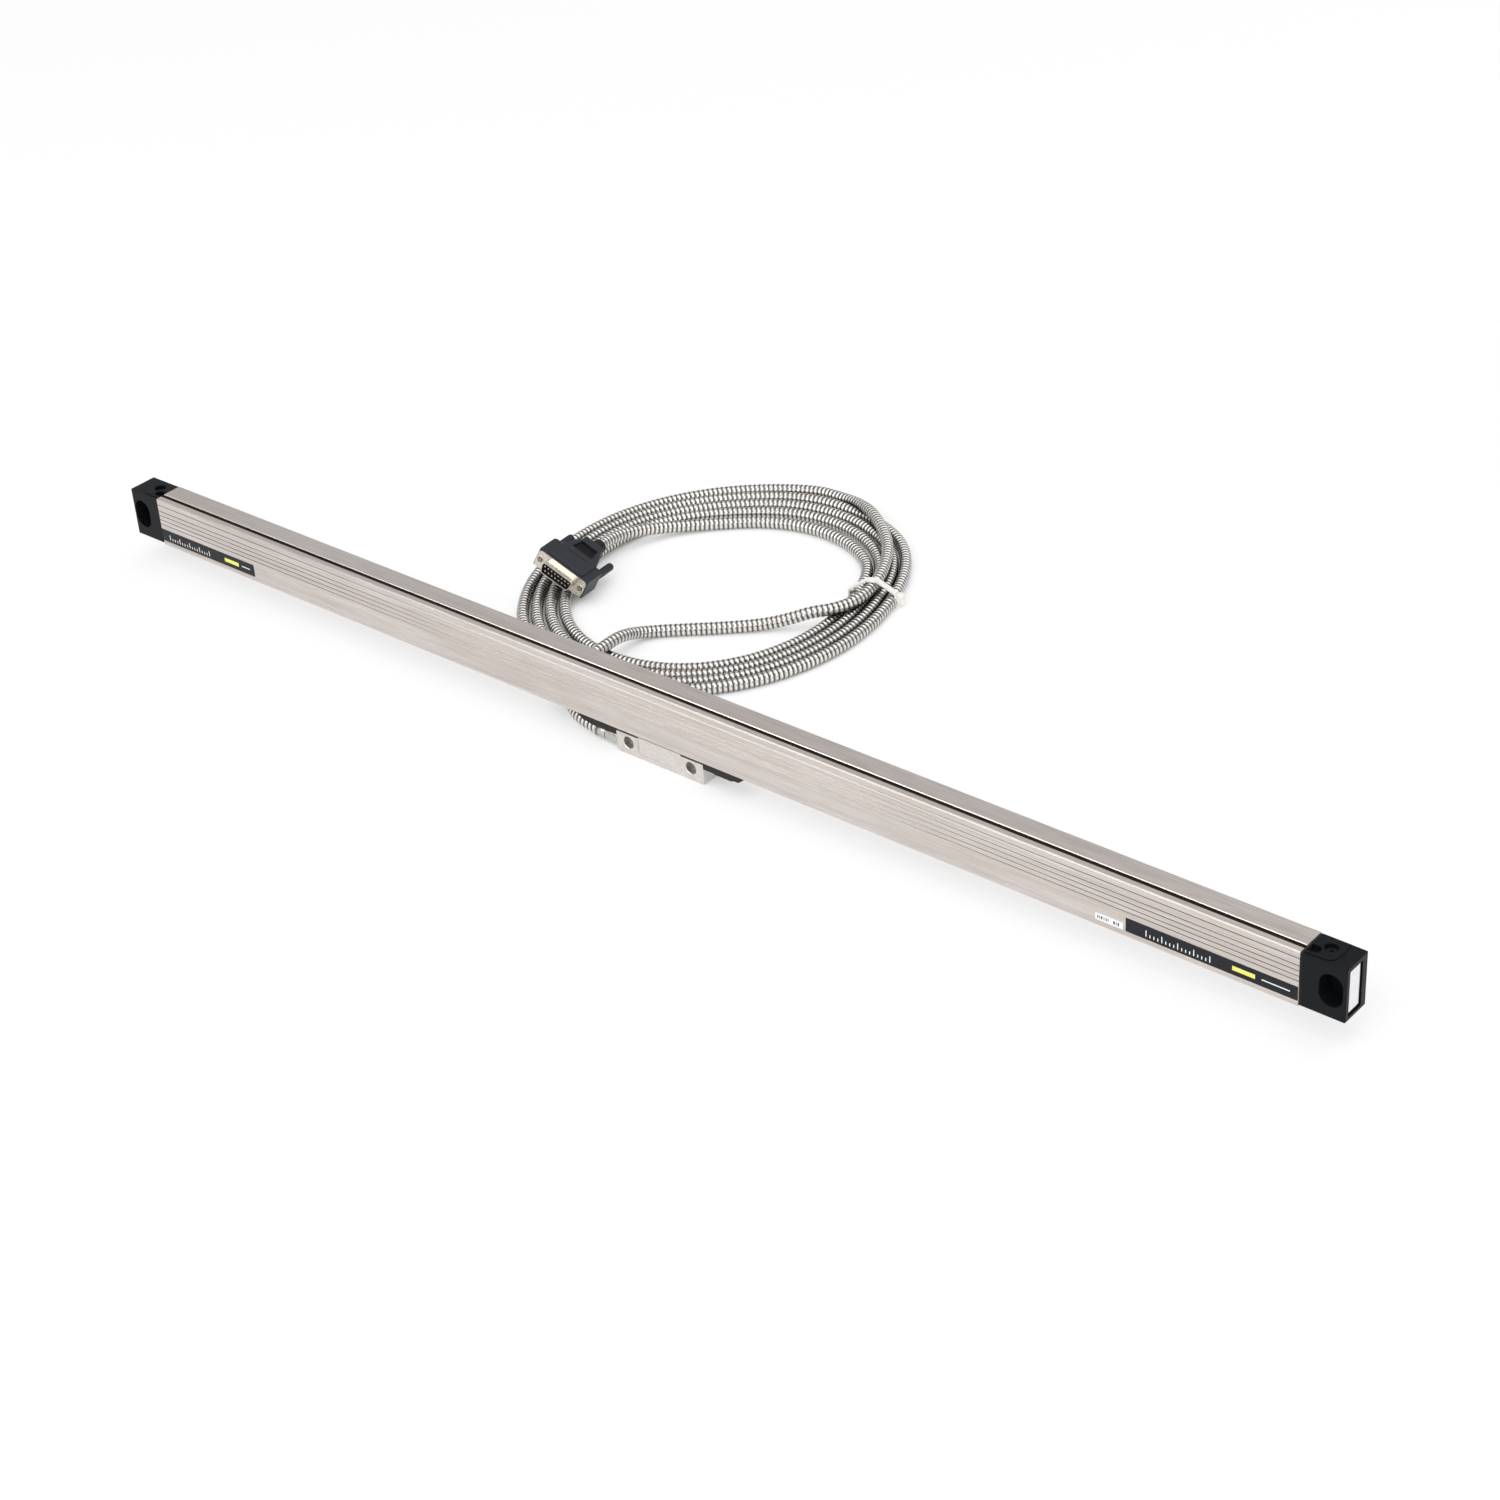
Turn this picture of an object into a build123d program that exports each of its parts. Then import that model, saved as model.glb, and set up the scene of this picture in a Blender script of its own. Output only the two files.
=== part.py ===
# Linear glass scale with a detector head, an armoured cable and a 15-way connector.
# Millimetres. X runs along the scale, +Y is the mounting side, +Z is up.
# The origin is on the ground plane under the middle of the housing; the head's underside is at z = 0.
from build123d import *
from math import cos, pi, radians, sin, tan
import os

# Driving dimensions of the housing
overall_length = 948.0
end_block_length = 26.5
housing_bottom = 15.9
housing_height = 35.6
front_face = -10.6
back_face = 10.6
block_front = -10.0
block_bottom = 16.5
block_height = 34.5
wall = 2.2
gasket_thickness = 1.0
spigot_length = 6.0
spigot_bottom = 20.6

# Driving dimensions of the glass and the slot
glass_thickness = 3.0
glass_y = 3.3
glass_bottom = 30.0
glass_top = 48.4
glass_length = 876.0
slot_width = 8.0

# Driving dimensions of the detector head
head_x = 3.75
head_length = 69.5
head_front = -10.0
head_back = 10.0
head_height = 14.4
head_crown = 15.2
head_bolt_pitch = 50.0
head_bolt_z = 8.5
wiper_length = 31.0
blade_thickness = 1.5
carriage_length = 62.0
roller_radius = 3.0
roller_width = 2.5
roller_gap = 0.15
axle_radius = 0.75

# Driving dimensions of the cable
conduit_od = 8.0
gland_y = -4.6
gland_z = 5.8
gland_length = 11.0
coil_x = -112.0
coil_y = 178.0
tie_angle = 21.5

# Derived places
half_length = overall_length / 2
block_inner = half_length - end_block_length
extrusion_half = block_inner - gasket_thickness
housing_top = housing_bottom + housing_height
block_top = block_bottom + block_height
head_left = head_x - head_length / 2
head_right = head_x + head_length / 2
conduit_r = conduit_od / 2
bolt_x = half_length - 9.0
bolt_z = 34.0
port_x = block_inner + 9.8
port_y = 2.4
carriage_end = carriage_length / 2


def box(x0, x1, y0, y1, z0, z1):
    return Pos((x0 + x1) / 2, (y0 + y1) / 2, (z0 + z1) / 2) * Box(x1 - x0, y1 - y0, z1 - z0)


def rod_x(y, z, radius, x0, x1):
    return Pos((x0 + x1) / 2, y, z) * Rot(0, 90, 0) * Cylinder(radius, x1 - x0)


def rod_y(x, z, radius, y0, y1):
    return Pos(x, (y0 + y1) / 2, z) * Rot(90, 0, 0) * Cylinder(radius, y1 - y0)


def rod_z(x, y, radius, z0, z1):
    return Pos(x, y, (z0 + z1) / 2) * Cylinder(radius, z1 - z0)


def profile_x(points, x0, x1):
    """A closed outline of (y, z) points, drawn out along X."""
    outline = make_face(Plane.YZ.offset(x0) * Polyline(*points, close=True))
    return extrude(outline, amount=x1 - x0, dir=(1, 0, 0))


def turned_x(points, y, z):
    """A closed outline of (x, radius) points, turned about a line along X."""
    outline = make_face(Plane.XZ * Polyline(*points, close=True))
    return Pos(0, y, z) * revolve(outline, axis=Axis.X)


def mirrored(shape):
    return mirror(shape, about=Plane.YZ)


# Housing extrusion: grooved front, slit along the top, lip slot along the underside
groove_heights = [32.3, 35.5, 38.9, 42.2, 46.8]
groove_width = 0.5
groove_depth = 0.45
label_bed = (18.6, 29.0)
label_bed_depth = 0.3
slit = (-6.4, -3.6)
slit_depth = 3.0
front_ledge_drop = 0.4
floor_top = housing_bottom + 2.5
ceiling = 48.9
front_ceiling = 46.4
lip_groove = (16.6, 17.8)
lip_groove_depth = 1.4
rib_thickness = 1.0
rib_bottom = 44.4


def extrusion_section():
    """Outer outline, anticlockwise from the front bottom corner, in (y, z)."""
    bed_low, bed_high = label_bed
    outline = [(front_face + 0.5, housing_bottom), (back_face - 0.5, housing_bottom),
               (back_face, housing_bottom + 0.5), (back_face, housing_top - 0.6),
               (back_face - 0.6, housing_top), (slit[1] + 0.3, housing_top),
               (slit[1], housing_top - 0.3), (slit[1], housing_top - slit_depth),
               (slit[0], housing_top - slit_depth), (slit[0], housing_top - front_ledge_drop),
               (front_face + 0.7, housing_top - front_ledge_drop), (front_face, housing_top - 1.1)]
    for z in reversed(groove_heights):
        high = z + groove_width / 2
        low = z - groove_width / 2
        outline += [(front_face, high), (front_face + groove_depth, high - 0.1),
                    (front_face + groove_depth, low + 0.1), (front_face, low)]
    outline += [(front_face, bed_high), (front_face + label_bed_depth, bed_high - 0.2),
                (front_face + label_bed_depth, bed_low + 0.2), (front_face, bed_low),
                (front_face, housing_bottom + 0.5)]
    return outline


def housing_extrusion():
    body = profile_x(extrusion_section(), -extrusion_half, extrusion_half)
    inner = [(front_face + wall, floor_top), (back_face - wall, floor_top), (back_face - wall, ceiling),
             (-1.6, ceiling), (-1.6, front_ceiling), (front_face + wall, front_ceiling)]
    cavity = profile_x(inner, -extrusion_half, extrusion_half)
    cavity = fillet(cavity.edges().filter_by(Axis.X), 0.6)
    for y in (glass_y - glass_thickness / 2 - 0.2 - rib_thickness, glass_y + glass_thickness / 2 + 0.2):
        cavity -= box(-extrusion_half, extrusion_half, y, y + rib_thickness, rib_bottom, ceiling + 0.1)
    body -= cavity
    half_slot = slot_width / 2
    body -= box(-extrusion_half, extrusion_half, -half_slot, half_slot, housing_bottom - 1, floor_top + 1)
    groove_half = half_slot + lip_groove_depth
    body -= box(-extrusion_half, extrusion_half, -groove_half, groove_half, *lip_groove)
    for side in (-1, 1):
        for z in spigot_screw_heights:
            body -= spigot_screw(side, z, 0.05)
    return body


# Lip seals: a bead held in the slot's groove and a lip that leans up to the blade
lip_gap = 0.3
lip_tip_z = 20.3


def lip_seal(side):
    tip = blade_thickness / 2 + lip_gap
    half_slot = slot_width / 2
    bead = half_slot + lip_groove_depth - 0.05
    low, high = lip_groove
    outline = [(bead, low + 0.05), (bead, high - 0.05), (half_slot - 0.2, high - 0.05),
               (tip + 0.25, lip_tip_z), (tip, lip_tip_z), (tip, lip_tip_z - 0.5),
               (half_slot - 1.0, lip_groove[0] + 0.05)]
    return profile_x([(side * y, z) for y, z in outline], -extrusion_half, extrusion_half)


# Countersunk screws that hold the end block's spigot, in from the back
spigot_screw_heights = [27.5, 38.5]
spigot_screw_x = extrusion_half - 2.6


def spigot_screw(side, z, clearance=0.0):
    x = side * spigot_screw_x
    head = Pos(x, back_face - 0.85, z) * Rot(-90, 0, 0) * Cone(1.5 + clearance, 2.75 + clearance, 1.7)
    return head + rod_y(x, z, 1.5 + clearance, 3.6 - clearance, back_face - 1.6)


# End block: oblong bolt recess, air port, notch at the slit, stepped top and recessed end face
bolt_recess_width = 14.2
bolt_recess_height = 20.2
bolt_recess_depth = 12.0
bolt_hole_r = 3.3
port_r = 3.8
port_depth = 6.0
rim_chamfer = 0.4
notch_y = -3.5
notch_r = 3.2
notch_depth = 3.0
top_step = 0.4
step_x = half_length - 9.1
step_y = block_front + 1.6
end_panel = (-7.0, 5.7, block_bottom + 2.3, block_top - 3.1)
end_panel_depth = 1.0


def right_end_block():
    body = box(block_inner, half_length, block_front, back_face, block_bottom, block_top)
    body = fillet(body.edges().filter_by(lambda e: e.center().X > block_inner + 1), 0.7)
    raised = box(block_inner - 1, step_x, step_y, back_face + 1, block_top - 1, block_top + 1)
    raised = fillet(raised.edges().filter_by(Axis.Z).sort_by(lambda e: e.center().X - e.center().Y)[-1], 6.0)
    body -= box(block_inner - 1, half_length + 1, block_front - 1, back_face + 1,
                block_top - top_step, block_top + 1) - raised
    body += box(extrusion_half - spigot_length, block_inner + 0.5, front_face + wall + 0.1,
                back_face - wall - 0.1, spigot_bottom, rib_bottom - 0.2)
    reach = (bolt_recess_height - bolt_recess_width) / 2
    recess_r = bolt_recess_width / 2
    recess_end = block_front + bolt_recess_depth
    for z in (bolt_z - reach, bolt_z + reach):
        body -= rod_y(bolt_x, z, recess_r, block_front - 1, recess_end)
    body -= box(bolt_x - recess_r, bolt_x + recess_r, block_front - 1, recess_end,
                bolt_z - reach, bolt_z + reach)
    body -= rod_y(bolt_x, bolt_z, bolt_hole_r, recess_end - 1, back_face + 1)
    body -= rod_z(port_x, port_y, port_r, block_top - port_depth, block_top + 1)
    body -= Pos(port_x, port_y, block_top - rim_chamfer / 2) * Cone(port_r, port_r + rim_chamfer, rim_chamfer)
    body -= rod_x(port_y, block_top - port_depth + 1.5, 1.2, block_inner - 1, port_x)
    body -= rod_z(block_inner + 3.8, notch_y, notch_r, block_top - notch_depth, block_top + 1)
    body -= box(block_inner - 1, block_inner + 3.8, notch_y - notch_r, notch_y + notch_r,
                block_top - notch_depth, block_top + 1)
    y0, y1, z0, z1 = end_panel
    panel = box(half_length - end_panel_depth, half_length + 1, y0, y1, z0, z1)
    body -= fillet(panel.edges().filter_by(Axis.X), 0.8)
    for z in spigot_screw_heights:
        body -= rod_y(spigot_screw_x, z, 1.5, 3.6, back_face)
    return body


def right_end_gasket():
    plate = box(extrusion_half, block_inner, block_front + 0.2, back_face - 0.3,
                block_bottom + 0.2, block_top - 0.3)
    return plate - box(extrusion_half - 1, block_inner + 1, front_face + wall, back_face - wall,
                       spigot_bottom - 0.1, rib_bottom - 0.1)


def port_plug(side):
    plug = rod_z(side * port_x, port_y, port_r - 0.1, block_top - port_depth, block_top - port_depth + 3.2)
    socket = extrude(RegularPolygon(1.5, 6), amount=2.2, dir=(0, 0, 1))
    return plug - Pos(side * port_x, port_y, block_top - port_depth + 1.2) * socket


# Glass scale and its elastic bond in the ceiling channel
bond_gap = 0.2
bond_bottom = 45.5


def glass_scale():
    half = glass_thickness / 2
    return box(-glass_length / 2, glass_length / 2, glass_y - half, glass_y + half, glass_bottom, glass_top)


def scale_bond():
    half = glass_thickness / 2
    outer = box(-glass_length / 2, glass_length / 2, glass_y - half - bond_gap, glass_y + half + bond_gap,
                bond_bottom, ceiling)
    return outer - glass_scale()


# Carriage inside the housing: a Z-section frame with ears that hold the roller axles
edge_roller_z = glass_bottom - roller_gap - roller_radius
face_roller_y = glass_y - glass_thickness / 2 - roller_gap - roller_radius
roller_places = {
    "left_edge_roller": ("edge", head_x - 24, edge_roller_z),
    "right_edge_roller": ("edge", head_x + 24, edge_roller_z),
    "left_face_roller": ("face", head_x - 24, 34.2),
    "right_face_roller": ("face", head_x + 24, 34.2),
    "middle_face_roller": ("face", head_x, 39.6),
}
frame_front = -7.4
frame_back = -4.9
frame_top = 42.2
ear_thickness = 1.2
ear_gap = 0.15


def roller(kind, x, z):
    """A flanged ball bearing: outer ring, recessed shield and bore."""
    ring = Cylinder(roller_radius, roller_width)
    ring = chamfer(ring.edges(), 0.2)
    for side in (-1, 1):
        ring -= Pos(0, 0, side * roller_width / 2) * (Cylinder(2.4, 0.5) - Cylinder(1.4, 0.5))
    ring -= Cylinder(axle_radius + 0.03, roller_width + 1)
    if kind == "edge":
        return Pos(x, glass_y, z) * Rot(90, 0, 0) * ring
    return Pos(x, face_roller_y, z) * ring


def axle(kind, x, z):
    reach = roller_width / 2 + ear_gap + ear_thickness
    if kind == "edge":
        return rod_y(x, z, axle_radius, glass_y - reach, glass_y + reach)
    return rod_z(x, face_roller_y, axle_radius, z - reach, z + reach)


def roller_ears(kind, x, z):
    """The two ears beside one roller, each bored for the axle."""
    ears = []
    near = roller_width / 2 + ear_gap
    far = near + ear_thickness
    for low, high in ((-far, -near), (near, far)):
        if kind == "edge":
            ear = box(x - 2.2, x + 2.2, glass_y + low, glass_y + high, 22.5, z + 1.9)
        else:
            ear = box(x - 2.2, x + 2.2, frame_back - 0.5, face_roller_y + 2.0, z + low, z + high)
        ears.append(ear - axle(kind, x, z))
    return ears


def carriage_frame():
    x0 = head_x - carriage_end
    x1 = head_x + carriage_end
    section = [(frame_front, 24.5), (-4.4, 24.5), (-4.4, 21.9), (7.2, 21.9), (7.2, 23.4), (-2.9, 23.4),
               (-2.9, 26.0), (frame_back, 26.0), (frame_back, frame_top), (frame_front, frame_top)]
    body = profile_x(section, x0, x1)
    body += box(head_x - 12, head_x + 12, 6.2, 7.2, 23.0, 40.5)
    for kind, x, z in roller_places.values():
        for ear in roller_ears(kind, x, z):
            body += ear
    for x in (x0, x1):
        body -= Pos(x, frame_front, frame_top) * Rot(0, 45, 0) * Box(4, 8, 4)
    for x in (head_x - 13, head_x + 13):
        body -= box(x - 4, x + 4, frame_front - 1, frame_back + 1, 28.5, 38.5)
    body -= box(head_x - 6, head_x + 6, -blade_thickness / 2 - 0.3, blade_thickness / 2 + 0.3, 21.0, 24.0)
    return body


# Optics: lamp block with lens, index grating, photodiode board
def light_source():
    block = box(head_x - 6, head_x + 6, frame_back, 0.3, 28.0, 35.5)
    lens = rod_y(head_x, 32.0, 2.2, 0.2, 0.6)
    return chamfer(block.edges().filter_by(Axis.Y), 0.6) + lens


def index_grating():
    return box(head_x - 7, head_x + 7, 0.7, 1.4, 30.2, 35.2) - rod_y(head_x + 5.8, 34.2, 0.4, 0, 2)


def grating_holder():
    """Picture-frame bracket that holds the index grating in front of the lamp block."""
    frame = box(head_x - 8, head_x + 8, 0.7, 1.4, 29.4, 36.0)
    frame -= box(head_x - 7, head_x + 7, 0.5, 1.5, 30.2, 35.2)
    for x in (head_x - 7.6, head_x + 7.6):
        frame += box(x - 0.4, x + 0.4, frame_back, 1.0, 29.4, 36.0)
    return frame


def photodiode_board():
    board = box(head_x - 11, head_x + 11, 5.4, 6.2, 27.5, 39.5)
    for x in (-6, -2, 2, 6):
        board += box(head_x + x - 1.5, head_x + x + 1.5, 5.1, 5.5, 31.0, 35.0)
    return board


# Coupling: wire spring from the blade's top to the carriage
def coupling_spring():
    wire = 0.4
    points = [(head_x, 0, 22.6), (head_x, 0, 26.6), (head_x - 8, -1.6, 26.6), (head_x - 16, -1.6, 26.6),
              (head_x - 16, -1.6, 23.4)]
    path = FilletPolyline(*points, radius=1.2)
    return sweep(Plane(origin=path @ 0, z_dir=path % 0) * Circle(wire), path=path)


# Detector head block: bolt recesses at both ends, raised crown, electronics pocket below
head_bolt_x = [head_x - head_bolt_pitch / 2, head_x + head_bolt_pitch / 2]
counterbore_r = 4.0
counterbore_depth = 5.0
head_hole_r = 2.25
pad_length = 17.8
crown_recess = 0.25
crown_recess_bottom = 3.4
pocket = (head_x - 12.8, head_x + 18.2)
pocket_half = 6.5
pocket_top = 10.5
board_top = 6.6
cover_thickness = 1.2
cover_overlap = 2.2
foot = (head_x - 15.0, head_x + 15.0)
foot_half = 3.0
foot_bottom = 12.0
blade_top = 21.5


def cover_outline(grow):
    x0, x1 = pocket
    edge = cover_overlap + grow
    plate = box(x0 - edge, x1 + edge, -pocket_half - edge, pocket_half + edge, 0, cover_thickness)
    return fillet(plate.edges().filter_by(Axis.Z), 2.0 + grow)


def cover_screw_places():
    x0, x1 = pocket
    return [(x, y) for x in (x0 + 1.5, x1 - 1.5) for y in (-pocket_half - 0.4, pocket_half + 0.4)]


def head_block():
    body = box(head_left, head_right, head_front, head_back, 0, head_height)
    body += box(head_left + pad_length, head_right - pad_length, head_front, head_back,
                head_height - 1, head_crown)
    body = fillet(body.edges().filter_by(Axis.Z).group_by(Axis.X)[0]
                  + body.edges().filter_by(Axis.Z).group_by(Axis.X)[-1], 0.8)
    body = chamfer(body.edges().filter_by(Axis.X).group_by(Axis.Z)[0], 0.5)
    body -= box(head_left + pad_length, head_right - pad_length, head_front - 1, head_front + crown_recess,
                crown_recess_bottom, head_crown + 1)
    for x in head_bolt_x:
        body -= rod_y(x, head_bolt_z, counterbore_r, head_front - 1, head_front + counterbore_depth)
        body -= (Pos(x, head_front + rim_chamfer / 2, head_bolt_z) * Rot(90, 0, 0)
                 * Cone(counterbore_r, counterbore_r + rim_chamfer, rim_chamfer))
        body -= rod_y(x, head_bolt_z, head_hole_r, head_front, head_back + 1)
    x0, x1 = pocket
    body -= box(x0, x1, -pocket_half, pocket_half, 0, board_top)
    body -= box(x0 + 1, x1 - 1, -pocket_half + 1.5, pocket_half - 1.5, board_top - 1, pocket_top)
    body -= cover_outline(0.05)
    for x, y in cover_screw_places():
        body -= rod_z(x, y, 0.8, 0, 5.0)
    body -= box(foot[0], foot[1], -foot_half, foot_half, foot_bottom, head_crown + 1)
    body -= rod_x(gland_y, gland_z, 3.5, head_left - 1, head_left + 5.2)
    body -= rod_x(gland_y + 0.6, 2.9, 1.0, head_left + 4, x0 + 1)
    body -= box(head_left - 1, head_left + 2.4, head_front - 1, head_front + 2.2, -1, 1.6)
    return body


def head_cover():
    plate = cover_outline(0)
    for x, y in cover_screw_places():
        plate -= rod_z(x, y, 0.9, -1, 2) + Pos(x, y, 0.4) * Cone(1.8, 0.95, 0.8)
    return plate


def head_cover_screw(x, y):
    head = Pos(x, y, 0.45) * Cone(1.65, 0.8, 0.8)
    return head + rod_z(x, y, 0.75, 0.8, 4.6) - Pos(x, y, 0.05) * Box(2.4, 0.4, 0.5)


def signal_board():
    x0, x1 = pocket
    board = box(x0 + 0.3, x1 - 0.3, -pocket_half + 0.3, pocket_half - 0.3, board_top - 1.6, board_top)
    chips = [(head_x - 3, -1.5, 7, 6, 1.5), (head_x + 8, 1.0, 5, 4, 1.2), (head_x - 9, 2.5, 3, 2, 1.0)]
    for x, y, length, width, height in chips:
        board += box(x - length / 2, x + length / 2, y - width / 2, y + width / 2,
                     board_top - 1.6 - height, board_top - 1.5)
    return board


def head_arm():
    """Foot in the crown, and a boat-shaped blade that parts the lips."""
    body = box(foot[0] + 0.02, foot[1] - 0.02, -foot_half + 0.02, foot_half - 0.02, foot_bottom, head_crown)
    half = blade_thickness / 2
    tip, shoulder = 24.0, 17.0
    hull = make_face(Polyline((head_x - tip, 0), (head_x - shoulder, -half), (head_x + shoulder, -half),
                              (head_x + tip, 0), (head_x + shoulder, half), (head_x - shoulder, half),
                              close=True))
    blade = extrude(Pos(0, 0, head_crown) * hull, amount=blade_top - head_crown, dir=(0, 0, 1))
    neck = box(head_x - 5, head_x + 5, -half, half, blade_top - 0.5, 22.6)
    return body + blade + neck


# Wipers: moulded shoes at both ends of the head, just under the lips
wiper_front = -9.6
wiper_back = 3.6
wiper_bottom = 10.3
wiper_top = 15.2


def right_wiper():
    tip = head_right + wiper_length
    side_view = [(head_right, wiper_bottom + 0.5), (head_right + 9, wiper_bottom + 0.5),
                 (head_right + 10, wiper_bottom), (tip - 9, wiper_bottom), (tip - 8.6, wiper_bottom + 1.1),
                 (tip - 3.5, wiper_bottom + 1.4), (tip, wiper_top - 0.8), (tip, wiper_top),
                 (head_right, wiper_top)]
    outline = make_face(Plane.XZ.offset(-wiper_front) * Polyline(*side_view, close=True))
    body = extrude(outline, amount=wiper_back - wiper_front, dir=(0, 1, 0))
    body = chamfer(body.edges().filter_by(Axis.X).group_by(Axis.Y)[0], 0.4)
    return body - box(head_right + 2, tip - 3, -1.4, 1.4, wiper_top - 2.0, wiper_top + 1)


def left_wiper():
    return Pos(2 * head_x, 0, 0) * mirrored(right_wiper())


# Cable gland: threaded stub in the head and a tapered ferrule on the conduit
gland_end = head_left - gland_length


def cable_gland():
    outline = [(head_left + 5.0, 0), (head_left + 5.0, 3.4), (head_left, 3.4), (head_left, 5.0),
               (head_left - 3.0, 5.0), (head_left - 3.6, 4.7), (gland_end + 1.0, 4.5), (gland_end, 4.3),
               (gland_end, 0)]
    return turned_x(outline, gland_y, gland_z) - rod_x(gland_y, gland_z, 1.5, gland_end + 4, head_left + 6)


# Route of the conduit. The lead leaves the gland, passes under the housing, climbs over the near side
# of the coil, crosses the coil's middle and passes through the tie on top of the bundle.
coil_thickness = conduit_od + 0.2
ground = coil_thickness / 2
on_top = coil_thickness + conduit_r + 0.1
lead_route = [(gland_end, gland_y, gland_z), (-60, gland_y, gland_z), (-77, 0.5, 7.4), (-92, 11.5, 10.4),
              (-101, 26, on_top), (-105, 42, on_top), (-106, 59, on_top), (-106.5, 77, on_top),
              (-108, 92, 7.0), (-104, 102, 4.4), (-95, 111, ground), (-80, 123, ground), (-62, 138, ground),
              (-46, 152, 4.8), (-33, 162.5, 8.4), (-24, 170.5, 11.8), (-14.5, 180, on_top), (-9, 193, on_top),
              (-8.5, 206, on_top), (-11, 219.5, on_top), (-16, 234, on_top), (-24, 250, on_top),
              (-34, 264.5, on_top), (-46, 277.5, on_top), (-60, 288.8, on_top), (-73.5, 297.5, 11.2),
              (-86, 303.5, 8.8), (-98, 308, 6.2), (-110, 310.5, ground)]

# Coil of four flat turns: the outer lane's radius and the lanes' spacing at stations round its middle
station_angles = [21.5, 42, 60, 80, 100, 120, 140, 160, 180, 200, 220, 240, 260, 280, 300, 320, 340, 360]
outer_radius = [121.0, 126.3, 130.5, 135.0, 136.0, 126.0, 120.0, 117.0, 116.0, 118.5, 124.5, 133.3, 140.0,
                142.0, 139.5, 133.3, 126.3, 121.8]
lane_spacing = [8.1, 8.3, 10.2, 10.1, 11.7, 11.0, 9.5, 8.3, 8.2, 8.4, 9.1, 9.6, 9.8, 9.0, 8.3, 8.2, 8.1, 8.1]
lane_count = 4

# The tail leaves the innermost lane, runs round the inside of the coil and rises to the connector
tail_route = [(-45, 255, ground), (-60, 263.3, ground), (-80, 268.5, ground), (-100, 269.5, ground),
              (-120, 265.8, ground), (-140, 256.5, ground), (-158, 242, ground), (-173, 227, 4.8),
              (-185, 211, 6.8), (-193.5, 193, 10.2)]


def corner_radii(points, label):
    """The largest arc that each corner's two runs allow: 0.45 of the shorter run over tan(turn / 2)."""
    radii = []
    for a, b, c in zip(points, points[1:], points[2:]):
        before = Vector(*b) - Vector(*a)
        after = Vector(*c) - Vector(*b)
        turn = radians(before.get_angle(after))
        radii.append(0.45 * min(before.length, after.length) / tan(turn / 2))
    print(label, "corner radii", [round(r) for r in radii])
    return radii


def conduit_tube(points, label):
    path = FilletPolyline(*points, radius=corner_radii(points, label))
    tube = sweep(Plane(origin=path @ 0, z_dir=path % 0) * Circle(conduit_r), path=path)
    wanted = pi * conduit_r ** 2 * path.length
    print(label, "length", round(path.length, 1), "volume ratio", round(tube.volume / wanted, 4))
    return tube


def around_coil(angle, radius):
    return (coil_x + radius * cos(radians(angle)), coil_y + radius * sin(radians(angle)))


def conduit_coil():
    """One closed ring of the coil's outer shape, a conduit's diameter thick."""
    outer = []
    inner = []
    for angle, radius, spacing in zip(station_angles, outer_radius, lane_spacing):
        outer.append(around_coil(angle, radius + conduit_r))
        inner.append(around_coil(angle, radius - (lane_count - 1) * spacing - conduit_r))
    ring = make_face(Spline(*outer, periodic=True)) - make_face(Spline(*inner, periodic=True))
    return extrude(ring, amount=coil_thickness, dir=(0, 0, 1)) - tie_band(0.05)


# Cable tie: a band round the bundle, with its ratchet head outside
tie_width = 4.8
tie_band_thickness = 1.2
tie_middle = 108.9
tie_half = 16.4


def tie_plane(offset):
    x, y = around_coil(tie_angle, tie_middle)
    along = (-sin(radians(tie_angle)), cos(radians(tie_angle)), 0)
    outward = (cos(radians(tie_angle)), sin(radians(tie_angle)), 0)
    return Plane(origin=(x, y, 0), x_dir=outward, z_dir=along).offset(offset)


def tie_band(grow):
    """The band's outline across the bundle: flat below, arched over the strand on top."""
    high = -1 if tie_plane(0).y_dir.Z < 0 else 1
    shoulder = coil_thickness + 1.2
    crown = on_top + conduit_r + 1.6
    flat = 3.6
    side = tie_half - tie_band_thickness
    outline = [(-tie_half, 0), (tie_half, 0), (tie_half, shoulder), (flat, crown), (-flat, crown),
               (-tie_half, shoulder)]
    inner_crown = crown - tie_band_thickness
    inset = [(-side, tie_band_thickness), (side, tie_band_thickness), (side, shoulder - 0.5),
             (flat - 0.3, inner_crown), (0.3 - flat, inner_crown), (-side, shoulder - 0.5)]
    half = tie_width / 2 + grow
    placed = tie_plane(-half)
    band = make_face(placed * Polyline(*[(x, high * z) for x, z in outline], close=True))
    band -= make_face(placed * Polyline(*[(x, high * z) for x, z in inset], close=True))
    return extrude(band, amount=2 * half, dir=placed.z_dir)


def cable_tie():
    x, y = around_coil(tie_angle, tie_middle + tie_half + 2.4)
    ratchet = Pos(x, y, 6.0) * Rot(0, 0, tie_angle) * Box(tie_width, tie_width, 6.4)
    return tie_band(0) + chamfer(ratchet.edges(), 0.5)


# Connector, drawn flat about its flange: X is its width, -Y is the mating side, Z is its height
connector_place = (-182.9, 104.8, 21.3)
connector_turn = 9.1
connector_roll = 26.8
connector_pitch = -7.2
flange_width = 39.14
flange_height = 12.55
flange_thickness = 0.8
jack_x = 16.65
jack_hole_r = 1.6
hood_half_width = 20.1
hood_bottom = -7.6
hood_top = 8.3
shoulder_half_height = 7.0
shoulder_length = 20.5
hood_length = 41.0
neck_half_width = 8.0
boot_length = 11.0
thumb_length = 41.0
thumb_radius = 2.7
thread_end = -1.2
window = [(-8.1, 22.4), (8.1, 22.4), (6.4, 33.6), (-6.4, 33.6)]
window_depth = 1.2
cavity_half_height = 5.6


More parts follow.
